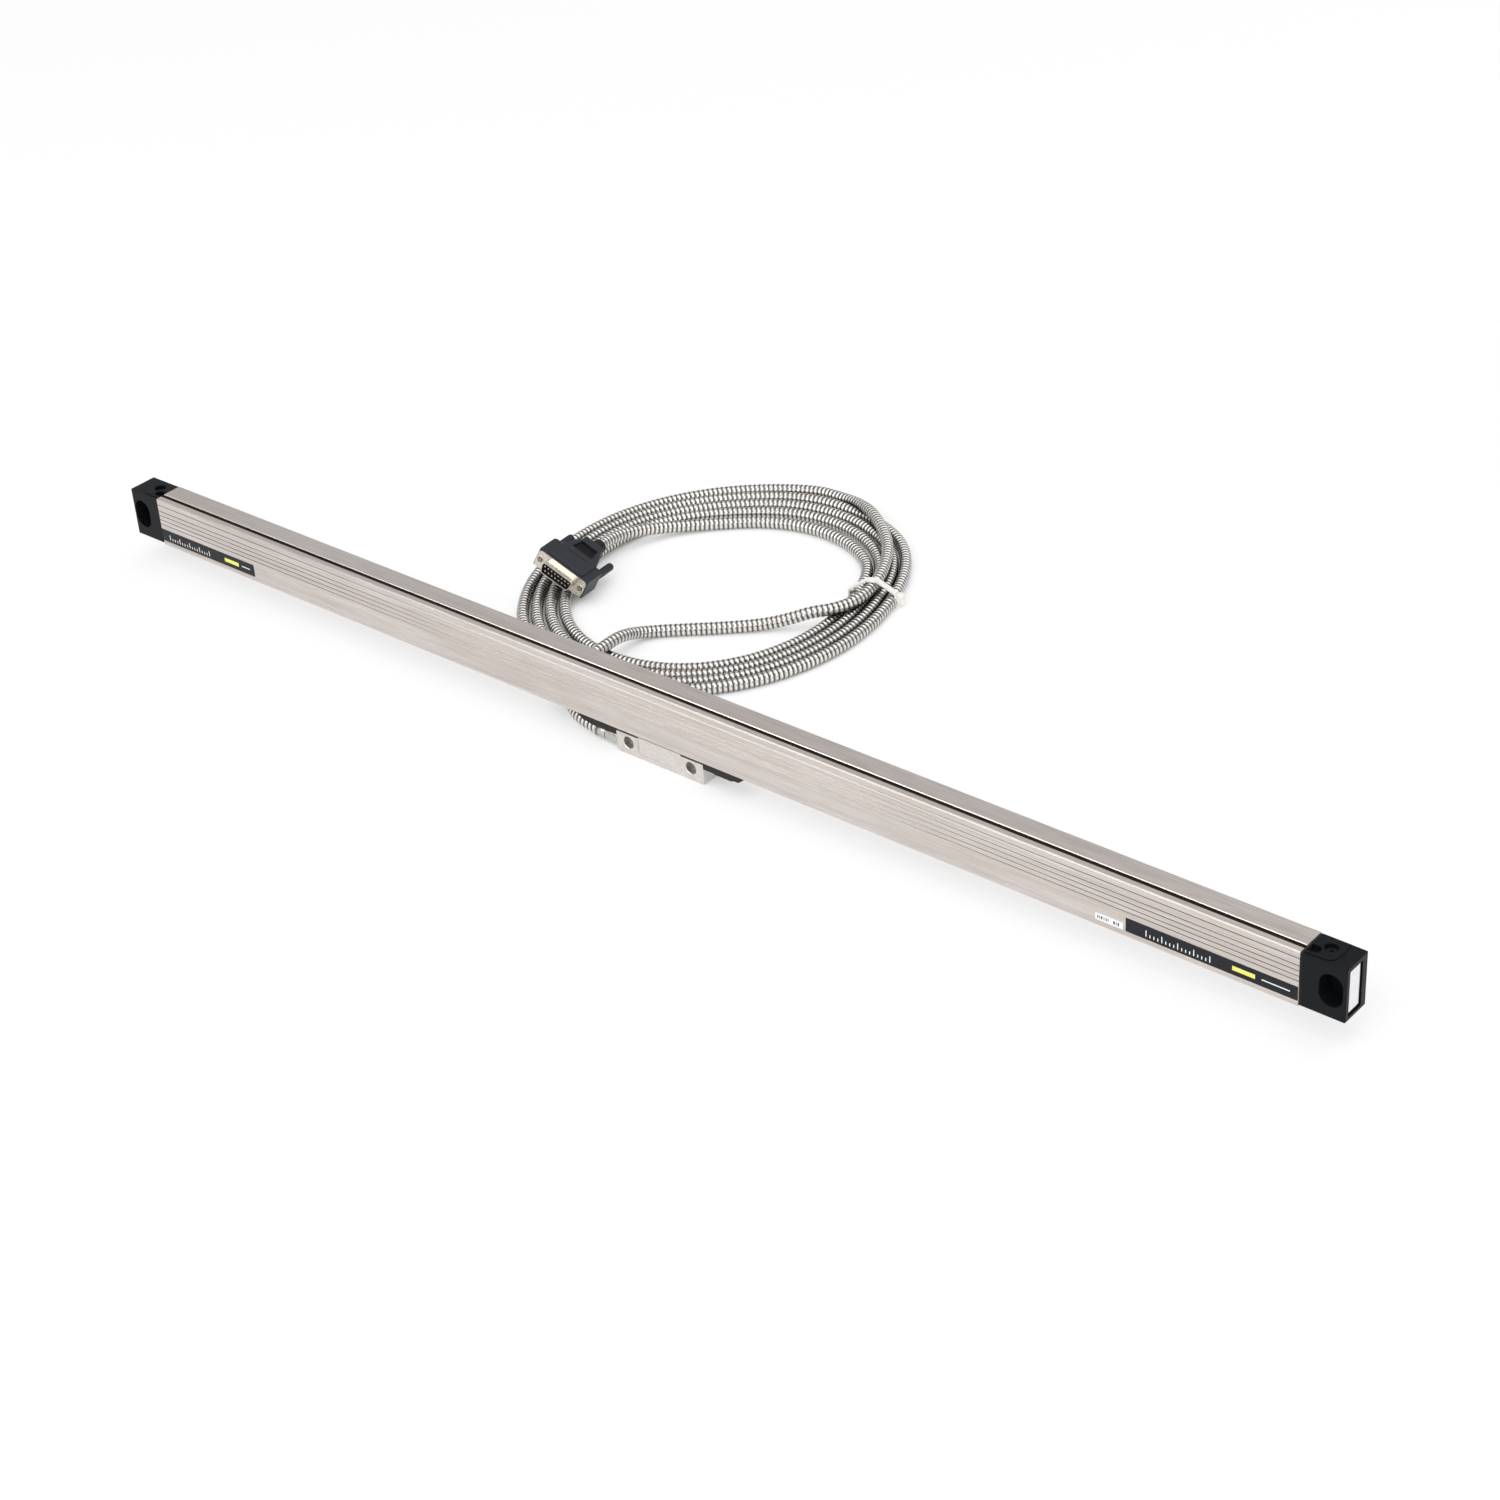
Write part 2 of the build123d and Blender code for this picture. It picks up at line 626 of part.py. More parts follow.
def placed_connector(shape):
    pose = Rot(0, 0, connector_turn) * Rot(0, connector_roll, 0) * Rot(connector_pitch, 0, 0)
    return Pos(*connector_place) * pose * shape


def behind_connector(distance):
    """A point on the connector's own axis, so far behind the flange."""
    point = placed_connector(Pos(0, distance, 0)).position
    return (point.X, point.Y, point.Z)


def d_outline(half_width, half_height, corner):
    """The connector's D: a trapezoid with its wide side up."""
    lean = 2 * half_height * tan(radians(10))
    low_half_width = half_width - lean
    outline = make_face(Polyline((-half_width, half_height), (half_width, half_height),
                                 (low_half_width, -half_height), (-low_half_width, -half_height), close=True))
    return fillet(outline.vertices(), corner)


def along_y(sketch, y0, y1):
    """A sketch in (x, z), drawn out from y0 to y1."""
    return Pos(0, y1, 0) * Rot(90, 0, 0) * extrude(sketch, amount=y1 - y0, dir=(0, 0, 1))


def connector_shell():
    plate = RectangleRounded(flange_width, flange_height, 2.0)
    plate -= [Pos(x, 0) * Circle(jack_hole_r) for x in (-jack_x, jack_x)]
    body = along_y(plate, 0, flange_thickness)
    body += along_y(d_outline(12.5, 4.2, 2.4), -5.9, 0.1)
    return body - along_y(d_outline(12.0, 3.7, 1.9), -7, 2)


def connector_insulator():
    return along_y(d_outline(11.95, 3.65, 1.85), -0.8, 4.0)


def contact_places():
    pitch = 2.77
    row_gap = 1.42
    upper = [((i - 3.5) * pitch, row_gap) for i in range(8)]
    lower = [((i - 3.0) * pitch, -row_gap) for i in range(7)]
    return upper + lower


def contact_pin(x, z):
    return rod_y(x, z, 0.5, -5.4, -0.8)


def hood_body():
    """Raised middle that tapers to the cable neck, between lower shoulders for the thumbscrews."""
    half_plan = [(13.9, 1.6), (14.2, shoulder_length), (12.2, 25.0), (10.6, 30.0), (neck_half_width, 35.5),
                 (neck_half_width, hood_length)]
    plan = make_face(Polyline(*half_plan, *[(-x, y) for x, y in reversed(half_plan)], close=True))
    body = extrude(Pos(0, 0, hood_bottom) * plan, amount=hood_top - hood_bottom, dir=(0, 0, 1))
    body = fillet(body.edges().filter_by(Axis.Z), 1.0)
    body = chamfer(body.faces().sort_by(Axis.Z)[-1].edges() + body.faces().sort_by(Axis.Z)[0].edges(), 0.6)
    shoulders = box(-hood_half_width, hood_half_width, flange_thickness, shoulder_length,
                    -shoulder_half_height, shoulder_half_height)
    shoulders = chamfer(shoulders.edges().filter_by(Axis.Z).group_by(Axis.Y)[-1], 2.0)
    body += fillet(shoulders.edges().filter_by(Axis.X), 0.6)
    body -= box(-13.0, 13.0, 0, hood_length - 10, -cavity_half_height, cavity_half_height)
    body -= along_y(Circle(5.0), hood_length - 14, hood_length + 1)
    for x in (-jack_x, jack_x):
        body -= rod_y(x, 0, 1.9, 0, shoulder_length + 1)
        body -= rod_y(x, 0, 3.3, shoulder_length - 8, shoulder_length + 1)
    recess = extrude(Pos(0, 0, hood_top - window_depth) * make_face(Polyline(*window, close=True)),
                     amount=2 * window_depth, dir=(0, 0, 1))
    line = box(-8.2, 8.2, 16.5, 17.0, hood_top - 0.4, hood_top + 1)
    return body - recess - line


def hood_half(side):
    low, high = (0, 20) if side > 0 else (-20, 0)
    return hood_body() & box(-40, 40, -5, 60, low, high)


def strain_relief():
    """Ribbed boot on the conduit's end, held in the hood's neck."""
    start = hood_length - 8.0
    end = hood_length + boot_length
    outline = [(start, 0), (start, 4.9), (hood_length, 4.9), (hood_length, 6.2)]
    rib = boot_length / 5
    for i in range(4):
        y = hood_length + 0.6 + i * rib
        radius = 6.2 - 0.35 * i
        outline += [(y, radius), (y + 1.2, radius), (y + 1.2, radius - 0.7), (y + rib - 0.1, radius - 0.7)]
    outline += [(end - 0.4, 4.8), (end, 4.8), (end, 0)]
    return revolve(make_face(Polyline(*[(r, y, 0) for y, r in outline], close=True)), axis=Axis.Y)


def thumbscrew(x):
    """Captive jack screw: thread end at the flange, slotted round knob behind the shoulders."""
    knob_start = shoulder_length - 7
    knob = rod_y(x, 0, thumb_radius, knob_start, thumb_length)
    knob = fillet(knob.edges().sort_by(Axis.Y)[-1], 1.8)
    for i in range(6):
        turn = Rot(0, 60 * i, 0)
        knob -= Pos(x, 0, 0) * turn * box(thumb_radius - 0.3, thumb_radius + 0.5, knob_start + 9,
                                          thumb_length - 2, -0.35, 0.35)
    return knob + rod_y(x, 0, jack_hole_r - 0.05, thread_end, knob_start)


def build():
    coil = conduit_coil()
    boot_end = hood_length + boot_length
    tail = conduit_tube(tail_route + [behind_connector(boot_end + 17), behind_connector(boot_end)], "tail")
    print("tail ends at", behind_connector(boot_end + 17), behind_connector(boot_end))
    nodes = {
        "housing_extrusion": housing_extrusion(),
        "right_end_block": right_end_block(),
        "left_end_block": mirrored(right_end_block()),
        "right_end_gasket": right_end_gasket(),
        "left_end_gasket": mirrored(right_end_gasket()),
        "end_block_screws": Compound(children=[spigot_screw(side, z) for side in (-1, 1)
                                               for z in spigot_screw_heights]),
        "port_plugs": Compound(children=[port_plug(s) for s in (-1, 1)]),
        "glass_scale": glass_scale(),
        "scale_bond": scale_bond(),
        "front_lip_seal": lip_seal(-1),
        "rear_lip_seal": lip_seal(1),
        "head_block": head_block(),
        "head_cover": head_cover(),
        "head_cover_screws": Compound(children=[head_cover_screw(x, y) for x, y in cover_screw_places()]),
        "signal_board": signal_board(),
        "head_arm": head_arm(),
        "left_wiper": left_wiper(),
        "right_wiper": right_wiper(),
        "carriage_frame": carriage_frame(),
        "carriage_axles": Compound(children=[axle(*place) for place in roller_places.values()]),
        "light_source": light_source(),
        "index_grating": index_grating(),
        "grating_holder": grating_holder(),
        "photodiode_board": photodiode_board(),
        "coupling_spring": coupling_spring(),
        "cable_gland": cable_gland(),
        "conduit_lead": conduit_tube(lead_route, "lead") - coil,
        "conduit_coil": coil,
        "conduit_tail": tail - coil,
        "cable_tie": cable_tie(),
    }
    for name, place in roller_places.items():
        nodes[name] = roller(*place)
    flat = {
        "connector_shell": connector_shell(),
        "connector_insulator": connector_insulator(),
        "contact_pins": Compound(children=[contact_pin(x, z) for x, z in contact_places()]),
        "upper_hood": hood_half(1),
        "lower_hood": hood_half(-1),
        "strain_relief": strain_relief(),
        "left_thumbscrew": thumbscrew(-jack_x),
        "right_thumbscrew": thumbscrew(jack_x),
    }
    for name, shape in flat.items():
        nodes[name] = placed_connector(shape)
    return nodes


os.makedirs("parts", exist_ok=True)
for name, shape in build().items():
    export_step(shape, f"parts/{name}.step")
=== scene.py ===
import bpy
import bmesh
from math import cos, pi, radians, sin
from mathutils import Matrix, Vector
from mathutils.kdtree import KDTree


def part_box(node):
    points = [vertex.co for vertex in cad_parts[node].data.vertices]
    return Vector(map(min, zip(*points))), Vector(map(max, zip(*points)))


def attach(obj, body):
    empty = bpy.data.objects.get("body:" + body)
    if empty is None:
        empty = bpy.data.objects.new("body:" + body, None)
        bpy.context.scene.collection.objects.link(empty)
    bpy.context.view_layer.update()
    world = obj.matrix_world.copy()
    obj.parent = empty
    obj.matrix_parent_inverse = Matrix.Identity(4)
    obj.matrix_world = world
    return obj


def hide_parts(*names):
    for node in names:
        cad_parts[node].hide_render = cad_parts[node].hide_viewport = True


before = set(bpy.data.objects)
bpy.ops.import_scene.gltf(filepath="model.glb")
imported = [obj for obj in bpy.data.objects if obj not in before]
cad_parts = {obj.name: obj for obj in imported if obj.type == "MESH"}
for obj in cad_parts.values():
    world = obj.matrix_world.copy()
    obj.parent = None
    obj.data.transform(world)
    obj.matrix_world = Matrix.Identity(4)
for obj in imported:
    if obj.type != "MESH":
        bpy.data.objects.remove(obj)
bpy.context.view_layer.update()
print("frame loaded")

# camera: fitted to the photograph's edges, lens and sensor in mm
view = {
    "place": (1.07537, -1.11468, 0.99244),
    "right": (0.76638, 0.63946, -0.06122),
    "down": (0.30653, -0.44778, -0.83996),
    "forward": (-0.56453, 0.62496, -0.53919),
    "lens": 72.77,
    "sensor": 36,
    "nearClip": 0.05,
}


def addObject(name, data):
    thing = bpy.data.objects.new(name, data)
    bpy.context.scene.collection.objects.link(thing)
    return thing


def makeCamera():
    data = bpy.data.cameras.new("camera")
    data.sensor_width = view["sensor"]
    data.lens = view["lens"]
    data.clip_start = view["nearClip"]
    data.dof.use_dof = False
    camera = addObject("camera", data)
    right, up, back = Vector(view["right"]), -Vector(view["down"]), -Vector(view["forward"])
    turn = Matrix((right, up, back)).transposed().to_4x4()
    camera.matrix_world = Matrix.Translation(view["place"]) @ turn
    bpy.context.scene.camera = camera


makeCamera()
print("camera placed")


# node helpers: what comes from a node is linked, a plain value is set on the socket
def feed(links, socket, value):
    if isinstance(value, bpy.types.NodeSocket):
        links.new(value, socket)
    else:
        socket.default_value = value


def reckon(nodes, links, operation, *values):
    step = nodes.new("ShaderNodeMath")
    step.operation = operation
    for socket, value in zip(step.inputs, values):
        feed(links, socket, value)
    return step.outputs[0]


def product(nodes, links, total, *others):
    for other in others:
        total = reckon(nodes, links, "MULTIPLY", total, other)
    return total


def vectorStep(nodes, links, operation, vector, other, result):
    step = nodes.new("ShaderNodeVectorMath")
    step.operation = operation
    feed(links, step.inputs[0], vector)
    feed(links, step.inputs[1], other)
    return step.outputs[result]


def remap(nodes, links, value, fromLow, fromHigh, toLow=0.0, toHigh=1.0):
    amount = nodes.new("ShaderNodeMapRange")
    ends = {"From Min": fromLow, "From Max": fromHigh, "To Min": toLow, "To Max": toHigh}
    for end, level in ends.items():
        amount.inputs[end].default_value = level
    links.new(value, amount.inputs["Value"])
    return amount.outputs["Result"]


def blend(nodes, links, share, first, second, way="MIX"):
    # colour mix: sockets 6 and 7 take the two colours, output 2 gives the result
    mix = nodes.new("ShaderNodeMix")
    mix.data_type = "RGBA"
    mix.blend_type = way
    feed(links, mix.inputs["Factor"], share)
    feed(links, mix.inputs[6], first)
    feed(links, mix.inputs[7], second)
    return mix.outputs[2]


def objectPlace(nodes):
    return nodes.new("ShaderNodeTexCoord").outputs["Object"]


def objectAxes(nodes, links):
    split = nodes.new("ShaderNodeSeparateXYZ")
    links.new(objectPlace(nodes), split.inputs[0])
    return split.outputs["X"], split.outputs["Y"], split.outputs["Z"]


def pointValue(nodes, name):
    attribute = nodes.new("ShaderNodeAttribute")
    attribute.attribute_name = name
    return attribute.outputs["Fac"]


def noiseOn(nodes, links, scale, stretch=(1, 1, 1), detail=4.0, rough=0.55):
    # object-space noise, stretched along each axis
    mapping = nodes.new("ShaderNodeMapping")
    mapping.inputs["Scale"].default_value = stretch
    noise = nodes.new("ShaderNodeTexNoise")
    noise.inputs["Scale"].default_value = scale
    noise.inputs["Detail"].default_value = detail
    noise.inputs["Roughness"].default_value = rough
    links.new(objectPlace(nodes), mapping.inputs["Vector"])
    links.new(mapping.outputs["Vector"], noise.inputs["Vector"])
    return noise.outputs["Fac"]


def tones(nodes, links, factor, low, high, start=0.35, end=0.65):
    ramp = nodes.new("ShaderNodeValToRGB")
    ramp.color_ramp.elements[0].position = start
    ramp.color_ramp.elements[0].color = (*low, 1)
    ramp.color_ramp.elements[1].position = end
    ramp.color_ramp.elements[1].color = (*high, 1)
    links.new(factor, ramp.inputs["Fac"])
    return ramp.outputs["Color"]


def gloss(nodes, links, shader, factor, low, high, start=0.3, end=0.7):
    links.new(remap(nodes, links, factor, start, end, low, high), shader.inputs["Roughness"])


def relief(nodes, links, shader, factor, strength, depth):
    bump = nodes.new("ShaderNodeBump")
    bump.inputs["Strength"].default_value = strength
    bump.inputs["Distance"].default_value = depth
    links.new(factor, bump.inputs["Height"])
    links.new(bump.outputs["Normal"], shader.inputs["Normal"])


def newMaterial(name, colour, roughness, metallic=0.0):
    material = bpy.data.materials.new(name)
    material.use_nodes = True
    nodes = material.node_tree.nodes
    shader = nodes["Principled BSDF"]
    shader.inputs["Base Color"].default_value = (*colour, 1)
    shader.inputs["Roughness"].default_value = roughness
    shader.inputs["Metallic"].default_value = metallic
    return material, nodes, material.node_tree.links, shader


# plain materials: low and high tone and roughness, the grain's scale, and where it isn't the usual
# value also metallic, the grain's stretch, the wear of the gloss, bump (strength, depth) and specular
looks = {
    "endBlack": {"low": (0.0045, 0.005, 0.0062), "high": (0.0075, 0.0083, 0.0102), "roughness": 0.38,
                 "scale": 900, "wear": 0.07, "bump": (0.2, 0.00008), "specular": 0.1},
    "sealRubber": {"low": (0.010, 0.010, 0.010), "high": (0.018, 0.018, 0.018), "roughness": 0.7,
                   "scale": 500, "wear": 0.05, "bump": (0.2, 0.0001), "specular": 0.3},
    "plainSteel": {"low": (0.42, 0.42, 0.42), "high": (0.56, 0.56, 0.56), "roughness": 0.32,
                   "scale": 900, "metallic": 1.0},
    "plugBlack": {"low": (0.010, 0.010, 0.011), "high": (0.018, 0.018, 0.02), "roughness": 0.4,
                  "scale": 700, "specular": 0.3},
    "siliconeBond": {"low": (0.66, 0.66, 0.63), "high": (0.75, 0.75, 0.72), "roughness": 0.5, "scale": 300},
    "boardGreen": {"low": (0.01, 0.09, 0.035), "high": (0.02, 0.14, 0.05), "roughness": 0.4, "scale": 600},
    "groundSteel": {"low": (0.45, 0.45, 0.45), "high": (0.6, 0.6, 0.6), "roughness": 0.28,
                    "scale": 2000, "metallic": 1.0, "stretch": (0.05, 1, 1)},
    "wiperBlack": {"low": (0.008, 0.007, 0.007), "high": (0.016, 0.014, 0.013), "roughness": 0.5,
                   "scale": 800, "bump": (0.2, 0.0001), "specular": 0.3},
    "castAluminium": {"low": (0.5, 0.5, 0.5), "high": (0.62, 0.62, 0.62), "roughness": 0.45,
                      "scale": 500, "metallic": 0.9, "bump": (0.2, 0.0001)},
    "lampBlack": {"low": (0.015, 0.015, 0.015), "high": (0.025, 0.025, 0.025), "roughness": 0.5,
                  "scale": 500},
    "bearingSteel": {"low": (0.5, 0.5, 0.51), "high": (0.62, 0.62, 0.63), "roughness": 0.2,
                     "scale": 1200, "metallic": 1.0},
    "glandNickel": {"low": (0.5, 0.48, 0.45), "high": (0.62, 0.6, 0.57), "roughness": 0.3,
                    "scale": 700, "metallic": 1.0},
    "tieNylon": {"low": (0.76, 0.75, 0.69), "high": (0.86, 0.85, 0.80), "roughness": 0.4,
                 "scale": 500, "wear": 0.05},
    "shellNickel": {"low": (0.68, 0.63, 0.56), "high": (0.78, 0.73, 0.66), "roughness": 0.27,
                    "scale": 600, "metallic": 1.0, "bump": (0.08, 0.0001)},
    "insulatorBlack": {"low": (0.008, 0.007, 0.006), "high": (0.014, 0.012, 0.011), "roughness": 0.5,
                       "scale": 700, "specular": 0.25},
    "hoodBlack": {"low": (0.0095, 0.012, 0.0165), "high": (0.0165, 0.0205, 0.028), "roughness": 0.42,
                  "scale": 1500, "bump": (0.3, 0.00012), "specular": 0.3},
    # painted shade in the hood's recess
    "windowShade": {"low": (0.003, 0.003, 0.0034), "high": (0.005, 0.005, 0.0055), "roughness": 0.3,
                    "scale": 600, "specular": 0.15},
    "bootBlack": {"low": (0.007, 0.007, 0.008), "high": (0.012, 0.012, 0.013), "roughness": 0.55,
                  "scale": 700, "wear": 0.05, "bump": (0.2, 0.0001), "specular": 0.3},
    "labelBlack": {"low": (0.009, 0.011, 0.014), "high": (0.013, 0.015, 0.019), "roughness": 0.35,
                   "scale": 300, "wear": 0.04, "specular": 0.18},
    "labelWhite": {"low": (0.78, 0.78, 0.79), "high": (0.82, 0.82, 0.83), "roughness": 0.45,
                   "scale": 300, "wear": 0.04},
    "printYellow": {"low": (0.72, 0.70, 0.14), "high": (0.78, 0.76, 0.18), "roughness": 0.4,
                    "scale": 300, "wear": 0.04},
    # painted highlight on the slit's rear edge
    "edgeHighlight": {"low": (0.88, 0.85, 0.82), "high": (0.96, 0.93, 0.9), "roughness": 0.32,
                   "scale": 900, "metallic": 0.9, "stretch": (0.02, 1, 1)},
    # painted shade in the top slit
    "slitShadeBrown": {"low": (0.02, 0.014, 0.0105), "high": (0.034, 0.024, 0.018), "roughness": 0.6,
                  "scale": 900, "wear": 0.05, "stretch": (0.05, 1, 1), "specular": 0.12},
}


def surface(name, low, high, roughness, scale, metallic=0.0, stretch=(1, 1, 1), wear=0.06, bump=None,
            specular=None):
    # two near tones, uneven gloss and a fine relief, all from one noise
    middle = tuple((a + b) / 2 for a, b in zip(low, high))
    material, nodes, links, shader = newMaterial(name, middle, roughness, metallic)
    grain = noiseOn(nodes, links, scale, stretch)
    links.new(tones(nodes, links, grain, low, high), shader.inputs["Base Color"])
    gloss(nodes, links, shader, grain, roughness - wear, roughness + wear)
    if bump:
        relief(nodes, links, shader, grain, *bump)
    if specular is not None:
        shader.inputs["Specular IOR Level"].default_value = specular
    return material


finishes = {name: surface(name, **look) for name, look in looks.items()}

# the plug, placed in the frame by three turns about its own axes
plug = {
    "place": (-0.1829, 0.1048, 0.0213),
    "turn": 9.1,
    "roll": 26.8,
    "pitch": -7.2,
    "screwX": 0.01665,
    "screwTip": 0.004,
    "pinTip": -0.0051,
    "ring": {"radius": 0.00205, "thickness": 0.00038, "sides": 32, "section": 10, "weld": 1e-6},
    "window": {"nearHalf": 0.0079, "farHalf": 0.0062, "near": 0.0226, "far": 0.0334, "low": 0.00712,
               "high": 0.0072},
}
plugTurn = (Matrix.Rotation(radians(plug["turn"]), 4, "Z") @ Matrix.Rotation(radians(plug["roll"]), 4, "Y")
            @ Matrix.Rotation(radians(plug["pitch"]), 4, "X"))
plugPose = Matrix.Translation(plug["place"]) @ plugTurn

splitLooks = {
    # the pins' dark far colour is painted shade on their shafts inside the insulator
    "pinGold": {"from": plug["pinTip"], "near": ((0.6, 0.55, 0.44), (0.72, 0.67, 0.55)),
                "far": (0.05, 0.04, 0.03), "metal": (0.9, 1.0), "roughness": 0.35},
    "screwBlack": {"from": plug["screwTip"], "near": ((0.26, 0.24, 0.21), (0.36, 0.33, 0.3)),
                   "far": (0.011, 0.0135, 0.0185), "metal": (1.0, 0.0), "roughness": 0.38},
}
splitGrain = {"scale": 900, "wear": 0.05, "specular": 0.32}


def beyondOnPlug(nodes, links, distance):
    # 1 further back than this distance behind the plug's flange
    offset = vectorStep(nodes, links, "SUBTRACT", objectPlace(nodes), plug["place"], "Vector")
    backwards = (plugTurn @ Vector((0, 1, 0)))[:]
    along = vectorStep(nodes, links, "DOT_PRODUCT", offset, backwards, "Value")
    return reckon(nodes, links, "GREATER_THAN", along, distance)


def splitOnPlug(name):
    # one look at the mating end and another further back; on the pins the far look is painted shade down
    # inside the insulator
    look = splitLooks[name]
    nearMetal, farMetal = look["metal"]
    roughness, wear = look["roughness"], splitGrain["wear"]
    material, nodes, links, shader = newMaterial(name, look["near"][0], roughness, nearMetal)
    grain = noiseOn(nodes, links, splitGrain["scale"])
    far = beyondOnPlug(nodes, links, look["from"])
    near = tones(nodes, links, grain, *look["near"])
    links.new(blend(nodes, links, far, near, (*look["far"], 1)), shader.inputs["Base Color"])
    metal = nodes.new("ShaderNodeMix")
    metal.inputs[2].default_value = nearMetal
    metal.inputs[3].default_value = farMetal
    links.new(far, metal.inputs["Factor"])
    links.new(metal.outputs[0], shader.inputs["Metallic"])
    gloss(nodes, links, shader, grain, roughness - wear, roughness + wear)
    shader.inputs["Specular IOR Level"].default_value = splitGrain["specular"]
    return material


# the extrusion
profile = {
    "base": {"colour": (0.62, 0.57, 0.53), "roughness": 0.38, "metallic": 0.8},
    "fine": {"stretch": (0.012, 1, 1), "scale": 2600, "detail": 3.0, "rough": 0.6},
    "broad": {"stretch": (0.05, 1, 1), "scale": 130, "detail": 3.0, "rough": 0.5},
    "streaks": {"low": (0.54, 0.495, 0.465), "high": (0.71, 0.654, 0.617)},
    "bands": {"low": (0.92, 0.91, 0.90), "high": (1.0, 1.0, 1.0), "start": 0.4, "end": 0.6},
    "gloss": (0.32, 0.46),
    "relief": (0.12, 0.00005),
}
groove = {
    "start": -0.01052,
    "end": -0.01040,
    "back": -0.0098,
    "lowest": 0.0312,
    "highest": 0.0474,
    # painted shade in the grooves, and the pale colour of the painted light and painted highlight
    "dark": (0.17, 0.15, 0.13),
    "pale": (0.98, 0.95, 0.92),
    "fadeFrom": 0.14,
    "fadeTo": 0.36,
    # height and half width of the painted highlight hairline
    "glint": 0.04605,
    "glintHalf": 0.00045,
    "glintShare": 0.55,
}


def withGrooveShade(nodes, links, body):
    # painted light on the front grooves: painted shade in them towards the ends of the bar, pale painted light
    # in its middle, and a painted highlight as a bright hairline under the top groove
    x, y, z = objectAxes(nodes, links)
    inside = remap(nodes, links, y, groove["start"], groove["end"])
    front = reckon(nodes, links, "LESS_THAN", y, groove["back"])
    above = reckon(nodes, links, "GREATER_THAN", z, groove["lowest"])
    below = reckon(nodes, links, "LESS_THAN", z, groove["highest"])
    outward = reckon(nodes, links, "ABSOLUTE", x)
    fade = remap(nodes, links, outward, groove["fadeFrom"], groove["fadeTo"])
    # painted shade in the grooves at the ends, painted light in the middle
    depth = tones(nodes, links, fade, groove["pale"], groove["dark"], 0.0, 1.0)
    grooved = blend(nodes, links, product(nodes, links, inside, front, above, below), body, depth)
    # painted highlight under the top groove
    glint = reckon(nodes, links, "COMPARE", z, groove["glint"], groove["glintHalf"])
    level = remap(nodes, links, fade, 0.0, 1.0, groove["glintShare"], 0.0)
    return blend(nodes, links, product(nodes, links, glint, front, level), grooved, (*groove["pale"], 1))


def profileAnodised():
    # champagne anodise: fine streaks along the profile and broad slow bands
    material, nodes, links, shader = newMaterial("profileAnodised", **profile["base"])
    fine = noiseOn(nodes, links, **profile["fine"])
    broad = noiseOn(nodes, links, **profile["broad"])
    streaks = tones(nodes, links, fine, **profile["streaks"])
    bands = tones(nodes, links, broad, **profile["bands"])
    body = blend(nodes, links, 1.0, streaks, bands, "MULTIPLY")
    links.new(withGrooveShade(nodes, links, body), shader.inputs["Base Color"])
    gloss(nodes, links, shader, fine, *profile["gloss"])
    relief(nodes, links, shader, fine, *profile["relief"])
    return material


# the head
head = {
    "base": {"colour": (0.76, 0.73, 0.69), "roughness": 0.36, "metallic": 0.85},
    "grain": {"stretch": (0.6, 1, 1), "scale": 420},
    "tones": {"low": (0.62, 0.59, 0.555), "high": (0.73, 0.70, 0.66)},
    "gloss": (0.3, 0.42),
    "relief": (0.1, 0.0001),
    "boreShade": {"middle": 0.00375, "apart": 0.025, "height": 0.0085, "radius": 0.00392, "face": -0.0094,
              # colour of the painted shade in the bolt recesses
              "colour": (0.22, 0.2, 0.18)},
}


def headNickel():
    # satin nickel, with painted shade down in the two bolt recesses
    boreShade = head["boreShade"]
    material, nodes, links, shader = newMaterial("headNickel", **head["base"])
    grain = noiseOn(nodes, links, **head["grain"])
    x, y, z = objectAxes(nodes, links)
    side = reckon(nodes, links, "ABSOLUTE", reckon(nodes, links, "SUBTRACT", x, boreShade["middle"]))
    flat = nodes.new("ShaderNodeCombineXYZ")
    links.new(side, flat.inputs["X"])
    links.new(z, flat.inputs["Z"])
    centre = (boreShade["apart"], 0, boreShade["height"])
    away = vectorStep(nodes, links, "DISTANCE", flat.outputs[0], centre, "Value")
    within = reckon(nodes, links, "LESS_THAN", away, boreShade["radius"])
    deep = reckon(nodes, links, "GREATER_THAN", y, boreShade["face"])
    nickel = tones(nodes, links, grain, **head["tones"])
    # mask of the painted shade in the recesses
    recess = product(nodes, links, within, deep)
    links.new(blend(nodes, links, recess, nickel, (*boreShade["colour"], 1)), shader.inputs["Base Color"])
    gloss(nodes, links, shader, grain, *head["gloss"])
    relief(nodes, links, shader, grain, *head["relief"])
    return material


# the hose's steel and the glass
steel = {
    "base": {"colour": (0.72, 0.69, 0.66), "roughness": 0.28, "metallic": 1.0},
    "scale": 500,
    "tones": {"low": (0.84, 0.81, 0.775), "high": (0.95, 0.925, 0.885)},
    "seam": (0.9, 0.985),
    # painted shade in the ring seams and where two strands touch
    "seamShade": (0.02, 0.017, 0.015),
    "creviceShade": (0.03, 0.026, 0.023),
    "gloss": (0.22, 0.36),
}
glass = {
    "base": {"colour": (0.82, 0.9, 0.88), "roughness": 0.08},
    "clear": 0.7,
    "lines": 800,
    "graduation": {"low": (0.55, 0.6, 0.6), "high": (0.82, 0.9, 0.88), "start": 0.48, "end": 0.52},
}


def hoseSteel():
    # bright interlocked rings, with painted shade down in the seams and where two strands touch
    material, nodes, links, shader = newMaterial("hoseSteel", **steel["base"])
    grain = noiseOn(nodes, links, steel["scale"])
    bright = tones(nodes, links, grain, **steel["tones"])
    outer = remap(nodes, links, pointValue(nodes, "ringDepth"), *steel["seam"])
    ringed = blend(nodes, links, outer, (*steel["seamShade"], 1), bright)
    shaded = blend(nodes, links, pointValue(nodes, "crevice"), ringed, (*steel["creviceShade"], 1))
    links.new(shaded, shader.inputs["Base Color"])
    gloss(nodes, links, shader, grain, *steel["gloss"])
    return material


